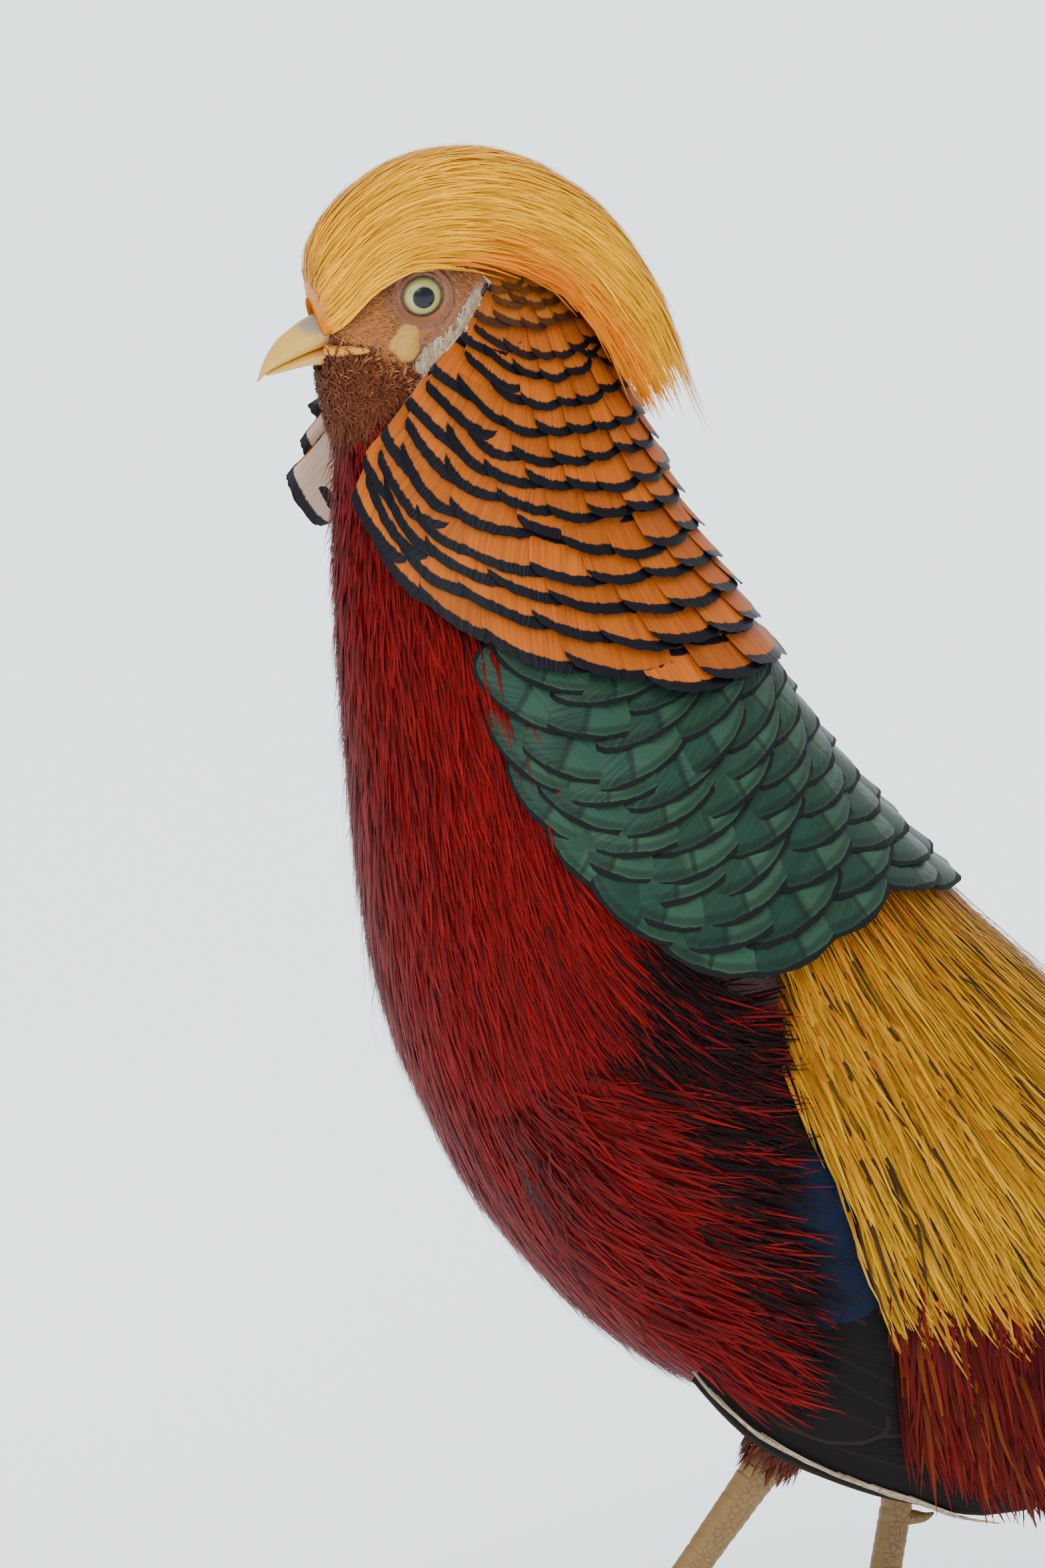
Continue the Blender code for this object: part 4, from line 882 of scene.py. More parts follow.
def makeWings():
    quill = quillFinish("wing feathers dark, blue and maroon")
    edgeCream = strandFinish("primary edge cream", rgb(0.30, 0.22, 0.14), rgb(0.42, 0.33, 0.22),
                             rgb(0.2, 0.15, 0.1))
    for side, word in ((1, "left"), (-1, "right")):
        gen = np.random.default_rng(20)
        home = lambda u, v: (u * 0.1 + 0.5 + side * 0.3, v * 0.4 + 0.3)
        u, v = np.meshgrid(np.linspace(-0.98, 0.98, 19), np.linspace(0.0, 0.99, 33))
        depth = np.interp(v, [0, 0.5, 0.75, 1.0], [wingSet["depth"], 0.010, 0.005, 0.0012])
        outer = lifted(wing, u, v, -0.0006 - 0.004 * (1 - ramp(v, 0, 0.16)))
        inner = lifted(wing, u, v, -depth)
        rim = np.zeros(u.shape, bool)
        rim[:, 0] = rim[:, -1] = rim[0] = rim[-1] = True
        inner = np.where(rim[..., None], outer - np.array([0.0004, 0, 0]), inner)
        both = np.concatenate([outer.reshape(-1, 3), inner.reshape(-1, 3)]) * np.array([side, 1, 1])
        rows, cols = u.shape
        faces = np.concatenate([gridFaces(1, rows, cols, side < 0),
                                gridFaces(1, rows, cols, side > 0) + rows * cols])
        n = rows * cols
        local = np.concatenate([np.stack(home(u.ravel(), v.ravel()), -1)] * 2)
        core = meshPiece("wingCore" + word.capitalize(), both, faces, {"OFBake": local, "Feather": local},
                         {key: np.full(2 * n, 0.01) for key in ("seed", "tone", "size", "edge")}, quill)
        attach(core, "root")
        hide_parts("wing_" + word)
        coat = Plumage("wing" + word.capitalize(), quill)
        vane = ((0, 0.5), (0.3, 0.9), (0.6, 1.0), (0.85, 0.85), (0.95, 0.55), (1, 0.15))
        for ends, tips, count, length, width, tone, lift, turns in wingRows:
            us = np.linspace(*ends, count)
            angle = np.linspace(*turns, count) + gen.normal(0, 0.02, count)
            size = length * gen.uniform(0.95, 1.05, count)
            ru, rv = backFrom(wing, us, np.linspace(*tips, count), angle, size)
            rv = np.maximum(rv, np.interp(us, [0.3, 0.9], [0.0, 0.16]))
            coat.add(wing, ru, rv, angle, size, width, lift, vane, rows=22, cols=9, tone=tone, side=side,
                     rng=gen, home=home, cup=0.03)
        coat.build()
        pale = Plumage("wingEdge" + word.capitalize(), edgeCream)
        places = gen.uniform(0.40, 0.76, wingSet["edge"])
        pale.add(wing, 1.25 + gen.normal(0, 0.006, wingSet["edge"]), places, 0.0, 0.014, 0.0007,
                 (0.0002, 0.0010, 0.0010), ((0, 0.6), (0.4, 1), (1, 0.3)), rows=5, side=side, rng=gen,
                 home=home)
        pale.build()
        red = Plumage("flank" + word.capitalize(), breastRed)
        n = wingSet["red"]
        dense = lambda u: np.interp(u, [-1, -0.6, 0.04, 0.3, 0.55, 0.9, 1.1],
                                    [0.03, 0.04, 0.07, 0.15, 0.25, 0.37, 0.40])
        thin = lambda u: np.interp(u, [-1, -0.5, -0.05, 0.34, 0.5, 0.9], [0.14, 0.17, 0.19, 0.28, 0.35, 0.41])
        chance = lambda u, v: np.where(v < dense(u), 1.0, 0.55 * (v < thin(u)))
        u, v = scatter(gen, n, wing, (-0.95, 1.12), (0.02, 0.42), chance)
        tip = (gen.gamma(2.0, 0.0006, n) + 0.0022) * (0.7 + 0.3 * ramp(v, 0.02, 0.10))
        heading = gen.normal(-0.36, 0.13, n) + 0.16 * ramp(u, 0.2, 0.9)
        length, wide = gen.uniform(0.018, 0.034, n), 0.0009 * gen.uniform(0.6, 1.4, n)
        dark = (v > dense(u)) & (gen.random(n) < 0.72)
        tone = np.where(dark, 1.0, np.clip(gen.normal(0.2, 0.2, n), 0, 1))
        red.add(wing, u, v, heading, length, wide, (-0.0006, tip, tip + 0.0006),
                ((0, 0.8), (0.35, 1), (0.7, 0.6), (1, 0.1)), rows=5, side=side, rng=gen, tone=tone, home=home,
                sway=gen.normal(0, 0.08, n))
        red.build()
        hung = Plumage("coverts" + word.capitalize(), scarlet)
        n = wingSet["coverts"]
        chance = lambda u, v: (v > 0.45 + 0.16 * (u + 0.3)) * 1.0
        u, v = scatter(gen, n, wing, (-0.9, 0.38), (0.40, 0.92), chance)
        tip = gen.gamma(2.0, 0.0006, n) + 0.0028
        heading = gen.normal(0.72, 0.10, n)
        length = gen.uniform(0.030, 0.046, n) * (1 - 0.45 * ramp(v, 0.6, 0.92))
        wide = 0.0013 * gen.uniform(0.6, 1.4, n)
        hung.add(wing, u, v, heading, length, wide, (0.0004, tip, tip + 0.0008),
                 ((0, 0.8), (0.35, 1), (0.7, 0.7), (1, 0.08)), rows=7, side=side, rng=gen,
                 tone=np.clip(gen.normal(-0.05, 0.22, n), 0, 1), home=home, sway=gen.normal(0, 0.06, n))
        hung.build()


makeWings()


rumpSet = {"strands": 30000, "length": (0.028, 0.046), "width": 0.00085, "tailCoverts": 3600}


rumpEdge = ([12.4, 12.8, 13.0, 13.7, 14.0, 14.55, 15.0, 15.4, 16.2, 17.3, 18],     # how far down the sides it goes
            [62, 74, 79, 81, 84, 93, 97, 100, 111, 134, 138])


def makeRump():
    def limit(u, v):
        return ((np.abs(u) < np.radians(np.interp(v, *rumpEdge))) & (v > rumpCut(u) - 0.60)) * 1.0
    for name, low, high, share in (("rump", 11.4, 14.6, 0.5), ("rumpLow", 14.6, 18.0, 0.5)):
        coat = Plumage(name, rumpGold)
        n = int(rumpSet["strands"] * share)
        u, v = scatter(rng, n, body, (-2.42, 2.42), (low, high), limit)
        turned = np.abs(u)
        rooted = ramp(v - rumpCut(u), -0.5, 1.4)
        over = ramp(turned, 0.75, 1.15) * ramp(18.5 - v, 0, 1.5) * ramp(v, 12.3, 14.2)
        length = rng.uniform(*rumpSet["length"], n)
        length *= 1 - 0.25 * ramp(13.6 - v, 0, 1) * ramp(turned, 0.9, 1.2)
        length *= 1 + 0.40 * ramp(v, 15.0, 16.6) * ramp(turned, 1.3, 1.8)
        tip = rng.gamma(2.0, 0.0006, n) + 0.0022 + 0.0078 * over
        heading = 0.06 + 0.24 * ramp(turned, 0.3, 1.2) + 0.26 * ramp(turned, 0.6, 1.5) * ramp(v, 12.8, 15.0)
        heading = np.sign(u) * heading + rng.normal(0, 0.06, n)
        wide = rumpSet["width"] * rng.uniform(0.6, 1.4, n)
        under = ramp(turned, 1.0, 1.5) * ramp(v, 14.2, 15.8)
        border = 0.60 - (v - rumpCut(u) + 0.60) * 0.8
        tone = np.clip(np.maximum(border, under * 0.6) + rng.normal(0, 0.2, n), 0, 0.85)
        coat.add(body, u, v, heading, length, wide,
                 (-0.0020, tip * (0.36 + 0.44 * rooted), tip * (0.6 + 0.4 * rooted)),
                 ((0, 0.7), (0.35, 1), (0.7, 0.7), (1, 0.08)), rows=5, rng=rng, tone=tone,
                 sway=rng.normal(0, 0.05, n))
        coat.build()
    red = Plumage("tailCoverts", scarlet)
    n = rumpSet["tailCoverts"]
    u, v = scatter(rng, n, body, (-2.6, 2.6), (16.3, 19.4), lambda u, v: (np.abs(u) > 1.15) * 1.0)
    low = ramp(np.abs(u), 1.8, 2.5)
    length = rng.uniform(0.040, 0.075, n) * (1 - 0.4 * low)
    heading = np.sign(u) * (0.22 - 0.2 * low) + rng.normal(0, 0.08, n)
    wide = 0.0016 * rng.uniform(0.7, 1.4, n)
    red.add(body, u, v, heading, length, wide, (-0.001, 0.0042 - 0.002 * low, 0.0056 - 0.003 * low),
            ((0, 0.7), (0.35, 1), (0.7, 0.8), (1, 0.1)), rows=8, rng=rng,
            tone=np.clip(rng.normal(-0.1, 0.25, n), 0, 1), sway=rng.normal(0, 0.04, n))
    red.build()


makeRump()


billSet = {"segments": 40, "rows": 44}


def hornFinish():
    m = Finish("bill horn yellow")
    place = m.node("ShaderNodeSeparateXYZ", None, {0: m.place()})
    y = Wire(m.tree, place.socket.node.outputs[1]) - float(shift[1])
    z = Wire(m.tree, place.socket.node.outputs[2]) - float(shift[2])
    streak = m.noise(m.combine(y * 900.0, z * 120.0, y * 200.0), 1.0, 4.0, 0.6)
    cloud = m.noise(m.place(), 160.0, 3.0, 0.55)
    colour = m.mix(streak * 0.5 + cloud * 0.5, rgb(0.60, 0.31, 0.030), rgb(0.78, 0.50, 0.090))
    gape = m.smooth(y, -0.1180, -0.1120) * m.smooth((z - 0.3400).math("ABSOLUTE"), 0.0045, 0.0020)
    colour = m.mix(gape * 0.8, colour, rgb(0.62, 0.22, 0.040))
    cere = m.smooth(y + (cloud - 0.5) * 0.002, -0.1206, -0.1168) * m.smooth(z, 0.3425, 0.3448)
    colour = m.mix(cere * 0.85, colour, m.mix(cloud, rgb(0.10, 0.075, 0.075), rgb(0.36, 0.32, 0.27)))
    colour = m.mix(m.smooth(y, -0.1262, -0.1284) * 0.4, colour, rgb(0.62, 0.42, 0.17))
    return m.done(Base_Color=colour, Roughness=0.36, Coat_Weight=0.15,
                  Normal=m.bump(streak * 0.4 + cloud * 0.6, 0.25, 0.0002))


def billHalf(name, node, top, bottom, widths, peak, finish):
    # Rings between a top and a bottom line, pointed above by peak, closed at both ends.
    t = np.linspace(0, len(top) - 1, billSet["rows"])
    high, low = along(np.array(top), t), along(np.array(bottom), t)
    half = along(np.array(widths)[:, None], t)[:, 0]
    a = np.linspace(0, 2 * math.pi, billSet["segments"], endpoint=False)
    middle, reach = (high + low) / 2, (high - low) / 2
    up = np.cos(a)
    side = np.sign(np.sin(a)) * np.abs(np.sin(a)) ** 0.85 * (1 - peak * np.clip(up, 0, 1) * 0.55)
    points = np.zeros((len(t), len(a), 3))
    points[..., 0] = np.maximum(half, 0.0003)[:, None] * side[None]
    points[..., 1:] = middle[:, None] + reach[:, None] * up[None, :, None]
    local = np.stack(np.broadcast_arrays(a[None] / math.tau, t[:, None] / len(top)), -1)
    piece = sealed(meshPiece(name, points, ringFaces(len(t), len(a)), {"OFBake": local}, {}, finish))
    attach(piece, "root")
    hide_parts(node)


def makeBill():
    horn = hornFinish()
    billHalf("billUpper", "bill_upper",
             [(-0.1080, 0.3496), (-0.1125, 0.3478), (-0.1172, 0.3457), (-0.1206, 0.3434), (-0.1236, 0.3408),
              (-0.1264, 0.3366), (-0.1283, 0.3314)],
             [(-0.1060, 0.3408), (-0.1105, 0.3401), (-0.1155, 0.3384), (-0.1190, 0.3369), (-0.1224, 0.3354),
              (-0.1256, 0.3336), (-0.1281, 0.3310)],
             [0.0100, 0.0077, 0.0060, 0.0050, 0.0039, 0.0022, 0.0004], 0.7, horn)
    billHalf("billLower", "bill_lower",
             [(-0.1060, 0.3412), (-0.1105, 0.3405), (-0.1155, 0.3388), (-0.1190, 0.3373), (-0.1226, 0.3356),
              (-0.1262, 0.3334)],
             [(-0.1060, 0.3348), (-0.1105, 0.3350), (-0.1155, 0.3351), (-0.1190, 0.3345), (-0.1222, 0.3335),
              (-0.1260, 0.3325)],
             [0.0090, 0.0070, 0.0055, 0.0045, 0.0030, 0.0008], 0.0, horn)
    t = np.linspace(0, 1, 30)
    y, z = np.interp(t, [0, 1], [-0.1128, -0.1038]), np.interp(t, [0, 0.5, 1], [0.3402, 0.3412, 0.3415])
    spot, normal = faceAt(y, z)[:2]
    spot = spot + normal * 0.0009
    a = np.linspace(0, 2 * math.pi, 20, endpoint=False)
    thick = 0.0013 * np.sqrt(np.clip(1 - t ** 2, 0, 1)) + 0.00008
    ring = np.stack([0 * a, 0 * a, np.cos(a)], -1)[None] + normal[:, None] * np.sin(a)[None, :, None] * 0.7
    points, faces = paired(spot[:, None] + ring * thick[:, None, None], ringFaces(len(t), len(a)))
    m = Finish("gape orange")
    grain = m.noise(m.place(), 900.0, 3.0)
    flesh = m.done(Base_Color=m.mix(grain, rgb(0.58, 0.19, 0.012), rgb(0.70, 0.31, 0.025)), Roughness=0.45,
                   Normal=m.bump(grain, 0.3, 0.0002))
    local = np.stack(np.broadcast_arrays(a[None] / math.tau, t[:, None]), -1).reshape(-1, 2)
    gape = sealed(meshPiece("gape", points, faces, {"OFBake": np.tile(local, (2, 1))}, {}, flesh))
    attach(gape, "root")


makeBill()
print("bill made")


tailSet = {"pairs": (1.0, 0.79, 0.62, 0.49, 0.39, 0.31, 0.25, 0.21, 0.18), "length": 0.700, "layer": 0.0010}


def makeTail():
    coat = Plumage("tail", tailFinish())
    broad = ((0, 0.3), (0.1, 0.75), (0.35, 1.0), (0.65, 0.82), (0.88, 0.5), (0.97, 0.24), (1, 0.05))
    short = ((0, 0.4), (0.3, 1.0), (0.8, 0.85), (0.95, 0.5), (1, 0.15))
    for k, pair in enumerate(tailSet["pairs"]):
        rows, shape = (100, broad) if k < 3 else (40, short)
        for side in (1, -1):
            level = 0.004 - tailSet["layer"] * (k + 1 if k else (side < 0))
            inner, outer = (-0.0165, 0.0245) if not k else (0.0006, 0.0266 - 0.0006 * k)
            middle, wide = side * (inner + outer) / 2, outer - inner
            length = tailSet["length"] * pair * (1 if side > 0 or k else 0.985)
            turn = side * 0.03 if k else 0.0
            coat.add(tailSheet, [middle], [0.001], [turn], [length], [wide], (level, level, level), shape,
                     rows=rows, cols=17, tone=min(1.0, 0.25 * k), rng=rng,
                     home=lambda u, v: (u * 4 + 0.5, 0.95 + 0 * v))
    coat.build("tail")


makeTail()
print("tail made")

legSet = {"scute": 0.0031, "around": 40, "tufts": 3200}
toes = {"middle": (-4, 0.047), "inner": (-42, 0.034), "outer": (36, 0.036), "hind": (172, 0.014)}
toeLine = ((0.0, 0.0072, 0.0044), (0.15, 0.0056, 0.0041), (0.30, 0.0042, 0.0037),     # share, height and radius
           (0.42, 0.0038, 0.0038), (0.55, 0.0032, 0.0032), (0.68, 0.0030, 0.0034),
           (0.80, 0.0025, 0.0027), (0.92, 0.0024, 0.0028), (1.0, 0.0024, 0.0023))
clawLine = ((-0.15, 0), (0.15, -0.02), (0.4, 0.0), (0.7, 0.07), (0.9, 0.16), (1, 0.21))     # reach and drop


def scaleLegFinish():
    m = Finish("leg scaly skin straw brown")
    scute, run = m.attribute("scute"), m.attribute("run")
    cells = m.node("ShaderNodeTexVoronoi", {"feature": "DISTANCE_TO_EDGE"},
                   {"Vector": m.place(), "Scale": 620.0})
    cloud = m.noise(m.place(), 130.0, 4.0, 0.6)
    grain = m.noise(m.place(), 1300.0, 3.0, 0.6)
    seam = m.smooth(cells, 0.10, 0.02) * (1 - scute)
    colour = m.mix(cloud, rgb(0.12, 0.055, 0.014), rgb(0.28, 0.16, 0.050))
    colour = m.mix(seam * 0.7, colour, rgb(0.075, 0.036, 0.016))
    # Darker at the start of each plate, under the edge of the plate before: a dark joint with painted shade under
    # that edge.
    colour = m.mix(m.smooth(run, 0.22, 0.02) * scute * 0.75, colour, rgb(0.085, 0.042, 0.018))
    colour = m.mix(grain * 0.3, colour, rgb(0.40, 0.27, 0.12))
    return m.done(Base_Color=colour, Roughness=0.52,
                  Normal=m.bump((1 - seam) * 0.6 + grain * 0.4, 0.5, 0.0003), Specular_IOR_Level=0.3)


def clawFinish():
    m = Finish("claw dark horn")
    streak = m.noise(m.place(), 420.0, 4.0, 0.6)
    colour = m.mix(streak, rgb(0.035, 0.022, 0.014), rgb(0.16, 0.10, 0.055))
    return m.done(Base_Color=colour, Roughness=0.35, Normal=m.bump(streak, 0.25, 0.0002))


def limb(points, radii, front, rows, scute=0.0, plates=(0.35, 0.00030), flat=None, squash=1.0):
    # A tube along a smooth line with overlapping plates on the side that front points to.
    points, radii = np.array([tuple(p) for p in points], float), np.array(radii, float)
    t = np.linspace(0, len(points) - 1, rows)
    line, thick = along(points, t), along(radii[:, None], t)[:, 0]
    ahead = np.gradient(line, axis=0)
    ahead /= np.linalg.norm(ahead, axis=1, keepdims=True)
    out = np.array(front, float) - (ahead @ np.array(front, float))[:, None] * ahead
    out /= np.linalg.norm(out, axis=1, keepdims=True)
    aside = np.cross(ahead, out)
    a = np.linspace(0, 2 * math.pi, legSet["around"], endpoint=False)
    length = np.concatenate([[0], np.cumsum(np.linalg.norm(np.diff(line, axis=0), axis=1))])
    run = (length / scute) % 1.0 if scute else np.ones(rows)
    facing = ramp(np.cos(a), plates[0], plates[0] + 0.25)
    plate = plates[1] * (ramp(run, 0.0, 0.22) * (1.15 - 0.45 * run))[:, None] * facing[None] if scute else 0
    radius = thick[:, None] + plate
    around = out[:, None] * np.cos(a)[None, :, None] + aside[:, None] * np.sin(a)[None, :, None] * squash
    spots = line[:, None] + around * radius[..., None]
    if flat is not None:
        spots[..., 2] = np.maximum(spots[..., 2], flat)
    local = np.stack(np.broadcast_arrays(a[None] / math.tau, length[:, None] * 8), -1).reshape(-1, 2)
    scuted = (np.ones(rows)[:, None] * facing[None]).ravel() if scute else np.zeros(rows * len(a))
    return spots.reshape(-1, 3), ringFaces(rows, len(a)), local, scuted, np.repeat(run, len(a))


def limbPiece(name, parts, material, *nodes):
    # One piece of several tubes.
    points, faces, local, scuted, run = zip(*parts)
    first = np.cumsum([0] + [len(p) for p in points])
    faces = [each + start for each, start in zip(faces, first)]
    points, faces, local, scuted, run = (np.concatenate(each) for each in (points, faces, local, scuted, run))
    piece = sealed(meshPiece(name, points, faces, {"OFBake": local}, {"scute": scuted, "run": run}, material))
    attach(piece, "root")
    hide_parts(*nodes)


def makeLegs():
    scaly, horn = scaleLegFinish(), clawFinish()
    for side, word in ((1, "left"), (-1, "right")):
        top, ankle, foot = (Vector(legPlaces[word][key]) for key in ("top", "ankle", "foot"))
        down = (foot - ankle).normalized()
        rear = Vector((-0.2 * side, 1, 0)).normalized()
        line = [ankle - down * 0.006, ankle + down * 0.003, ankle.lerp(foot, 0.12), ankle.lerp(foot, 0.5),
                ankle.lerp(foot, 0.9), foot - down * 0.002]
        shank = limb(line, [0.0050, 0.0051, 0.0045, 0.0038, 0.0039, 0.0046], (0, -1, -0.1), 190,
                     legSet["scute"], squash=0.86)
        back = limb(line[1:], [0.0046, 0.0040, 0.0033, 0.0034, 0.0040], (0, 1, 0.1), 120,
                    legSet["scute"] * 0.9, plates=(0.55, 0.0006))
        root = ankle.lerp(foot, 0.62)
        thorn = [root + rear * reach for reach in (-0.001, 0.004, 0.0072)]
        spur = limb(thorn + [root + rear * 0.0095 + Vector((0, 0, 0.001))],
                    [0.0025, 0.0019, 0.0012, 0.0003], (0, 0, 1), 26)
        limbPiece("shank" + word.capitalize(), [shank, back, spur], scaly, "shank_" + word)
        parts = [limb([foot + Vector((0, 0, 0.0060)), foot + Vector((0, 0, 0.002)),
                       Vector((foot.x, foot.y, 0.0032)), Vector((foot.x, foot.y, 0.0004))],
                      [0.0048, 0.0058, 0.0066, 0.0050], (0, -1, 0), 30, flat=0.0)]
        for toe, (degrees, length) in toes.items():
            turn = math.radians(degrees * side)
            ahead = Vector((math.sin(turn), -math.cos(turn), 0))
            base = Vector((foot.x, foot.y, 0))
            points = [base + ahead * length * share + Vector((0, 0, height)) for share, height, _ in toeLine]
            radii = [radius for _, _, radius in toeLine]
            rows = 90 if length > 0.02 else 50
            parts.append(limb(points, radii, (0, 0, 1), rows, 0.0023, plates=(0.30, 0.00028), flat=0.0))
            low = Vector((0, 0, -1))
            claw = [points[-1] + ahead * (0.011 * reach) + low * 0.011 * drop for reach, drop in clawLine]
            claw = limb(claw, [0.0016, 0.0021, 0.0018, 0.0013, 0.0008, 0.0002], (0, 0, 1), 30, flat=0.0)
            limbPiece("claw" + toe.capitalize() + word.capitalize(), [claw], horn, "claw_" + toe + "_" + word)
        limbPiece("foot" + word.capitalize(), parts, scaly, "foot_" + word)
        axis = np.array(ankle - top)
        long = np.linalg.norm(axis)
        axis /= long
        first = np.cross(axis, [0, 0, 1.0])
        first /= np.linalg.norm(first)
        second = np.cross(axis, first)

        def thigh(u, v, top=np.array(top), axis=axis, long=long, first=first, second=second):
            u, v = np.broadcast_arrays(np.asarray(u, float), np.asarray(v, float))
            radius = np.interp(v, [-0.2, 0, 0.45, 0.85, 1.1], [0.019, 0.0185, 0.0138, 0.0076, 0.0056])
            ring = first * np.cos(u)[..., None] + second * np.sin(u)[..., None]
            return top + axis * long * v[..., None] + ring * radius[..., None]
        gen = np.random.default_rng(5)
        coat = Plumage("thigh" + word.capitalize(), thighRust)
        n = legSet["tufts"]
        u, v = scatter(gen, n, thigh, (-math.pi, math.pi), (-0.1, 1.0))
        length = gen.uniform(0.006, 0.012, n) * np.interp(v, [0.3, 1.0], [1.1, 0.6])
        tip = gen.gamma(2.0, 0.0004, n) + 0.0005
        coat.add(thigh, u, v, gen.normal(0, 0.15, n), length, 0.0009 * gen.uniform(0.6, 1.4, n),
                 (-0.0008, tip * 0.6, tip), ((0, 0.8), (0.35, 1), (0.7, 0.7), (1, 0.1)), rows=5, rng=gen,
                 tone=np.clip(gen.normal(0.1, 0.2, n), 0, 1),
                 home=lambda u, v: (u / 12.6 + 0.5, v * 0.08 + 0.95))
        coat.build()


makeLegs()
print("legs made")

def facePatch(name, centre, radii, profile, material, tilt=0.0, rings=26, spokes=72, sink=0.0004):
    # A round patch on both sides of the face, raised over its surface by profile(share of the radius, angle).
    share, angle = np.meshgrid(np.linspace(0, 1, rings),
                               np.linspace(0, 2 * math.pi, spokes, endpoint=False), indexing="ij")
    a, b = share * radii[0] * np.cos(angle), share * radii[1] * np.sin(angle)
    y, z = centre[0] + a * math.cos(tilt) - b * math.sin(tilt), centre[1] + a * math.sin(tilt) + b * math.cos(tilt)
    spot, normal, u, v = faceAt(y, z)
    rise = profile(share, angle) - sink * ramp(share, 0.9, 1.0)
    spot = spot + normal * rise[..., None]
    points, faces = paired(spot, ringFaces(rings, spokes, True))
    bake = np.stack([u / (2 * math.pi) + 0.5, v / bodyRows], -1).reshape(-1, 2)
    far = bake * np.array([-1, 1]) + np.array([1, 0])
    local = np.tile(np.stack([angle / (2 * math.pi), share], -1).reshape(-1, 2), (2, 1))
    piece = meshPiece(name, points, faces, {"OFBake": np.concatenate([bake, far]), "Feather": local},
                      {"share": np.tile(share.ravel(), 2)}, material)
    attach(piece, "root")


def wave(angle, share, many, seed):
    gen = np.random.default_rng(seed)
    total = np.zeros(np.broadcast(angle, share).shape)
    for _ in range(many):
        folds = angle * gen.integers(5, 24) + share * gen.uniform(4, 18) + gen.uniform(0, 6)
        total += np.sin(folds) / many ** 0.5
    return total


def lidFinish():
    m = Finish("bare skin round the eye")
    y = m.feather()[1]
    grain = m.noise(m.place(), 1500.0, 3.0, 0.6)
    dots = m.node("ShaderNodeTexVoronoi", {"feature": "F1"}, {"Vector": m.place(), "Scale": 1700.0})
    colour = m.stops(y, (0.0, rgb(0.03, 0.012, 0.012)), (0.06, rgb(0.06, 0.02, 0.02)),
                     (0.10, rgb(0.34, 0.12, 0.05)), (0.25, rgb(0.22, 0.075, 0.032)),
                     (0.32, rgb(0.10, 0.036, 0.020)), (0.42, rgb(0.27, 0.10, 0.036)),
                     (0.75, rgb(0.24, 0.082, 0.030)), (1.0, rgb(0.20, 0.066, 0.024)))
    colour = m.mix(m.smooth(dots, 0.1, 0.6) * 0.45, colour, rgb(0.36, 0.14, 0.055))
    colour = m.mix(grain * 0.35, colour, rgb(0.05, 0.02, 0.012))
    return m.done(Base_Color=colour, Roughness=0.55, Normal=m.bump(grain * 0.5 + dots * 0.6, 0.5, 0.0003))


def eyeFinish():
    m = Finish("eye pale yellow iris")
    share = m.attribute("share")
    turn = m.attribute("turn")
    across, up = ((turn * math.tau).math(kind) * 7 for kind in ("COSINE", "SINE"))
    rays = m.noise(m.combine(across, up, share * 3), 2.0, 4.0, 0.6)
    colour = m.stops(share + (rays - 0.5) * 0.02, (0.0, rgb(0.004, 0.006, 0.010)),
                     (0.400, rgb(0.006, 0.009, 0.016)), (0.425, rgb(0.13, 0.14, 0.045)),
                     (0.46, rgb(0.43, 0.43, 0.135)), (0.62, rgb(0.45, 0.42, 0.125)),
                     (0.70, rgb(0.22, 0.20, 0.06)), (0.735, rgb(0.10, 0.08, 0.06)),
                     (0.77, rgb(0.015, 0.010, 0.010)))
    colour = m.mix((1 - rays) * 0.30 * m.smooth(share, 0.40, 0.46), colour, rgb(0.44, 0.40, 0.19))
    return m.done(Base_Color=colour, Roughness=0.25, Coat_Weight=0.25, Coat_Roughness=0.03,
                  Specular_IOR_Level=0.2, Normal=m.bump(rays, 0.15, 0.0001))


def lobeFinish():
    m = Finish("cheek lobe yellow")
    grain = m.noise(m.place(), 1100.0, 4.0, 0.6)
    cells = m.node("ShaderNodeTexVoronoi", {"feature": "F1"}, {"Vector": m.place(), "Scale": 1300.0})
    colour = m.mix(grain, rgb(0.36, 0.17, 0.022), rgb(0.62, 0.36, 0.055))
    colour = m.mix(m.smooth(m.attribute("share"), 0.75, 1.0), colour, rgb(0.26, 0.11, 0.045))
    return m.done(Base_Color=colour, Roughness=0.55, Normal=m.bump(cells * 0.7 + grain * 0.4, 0.5, 0.0003))


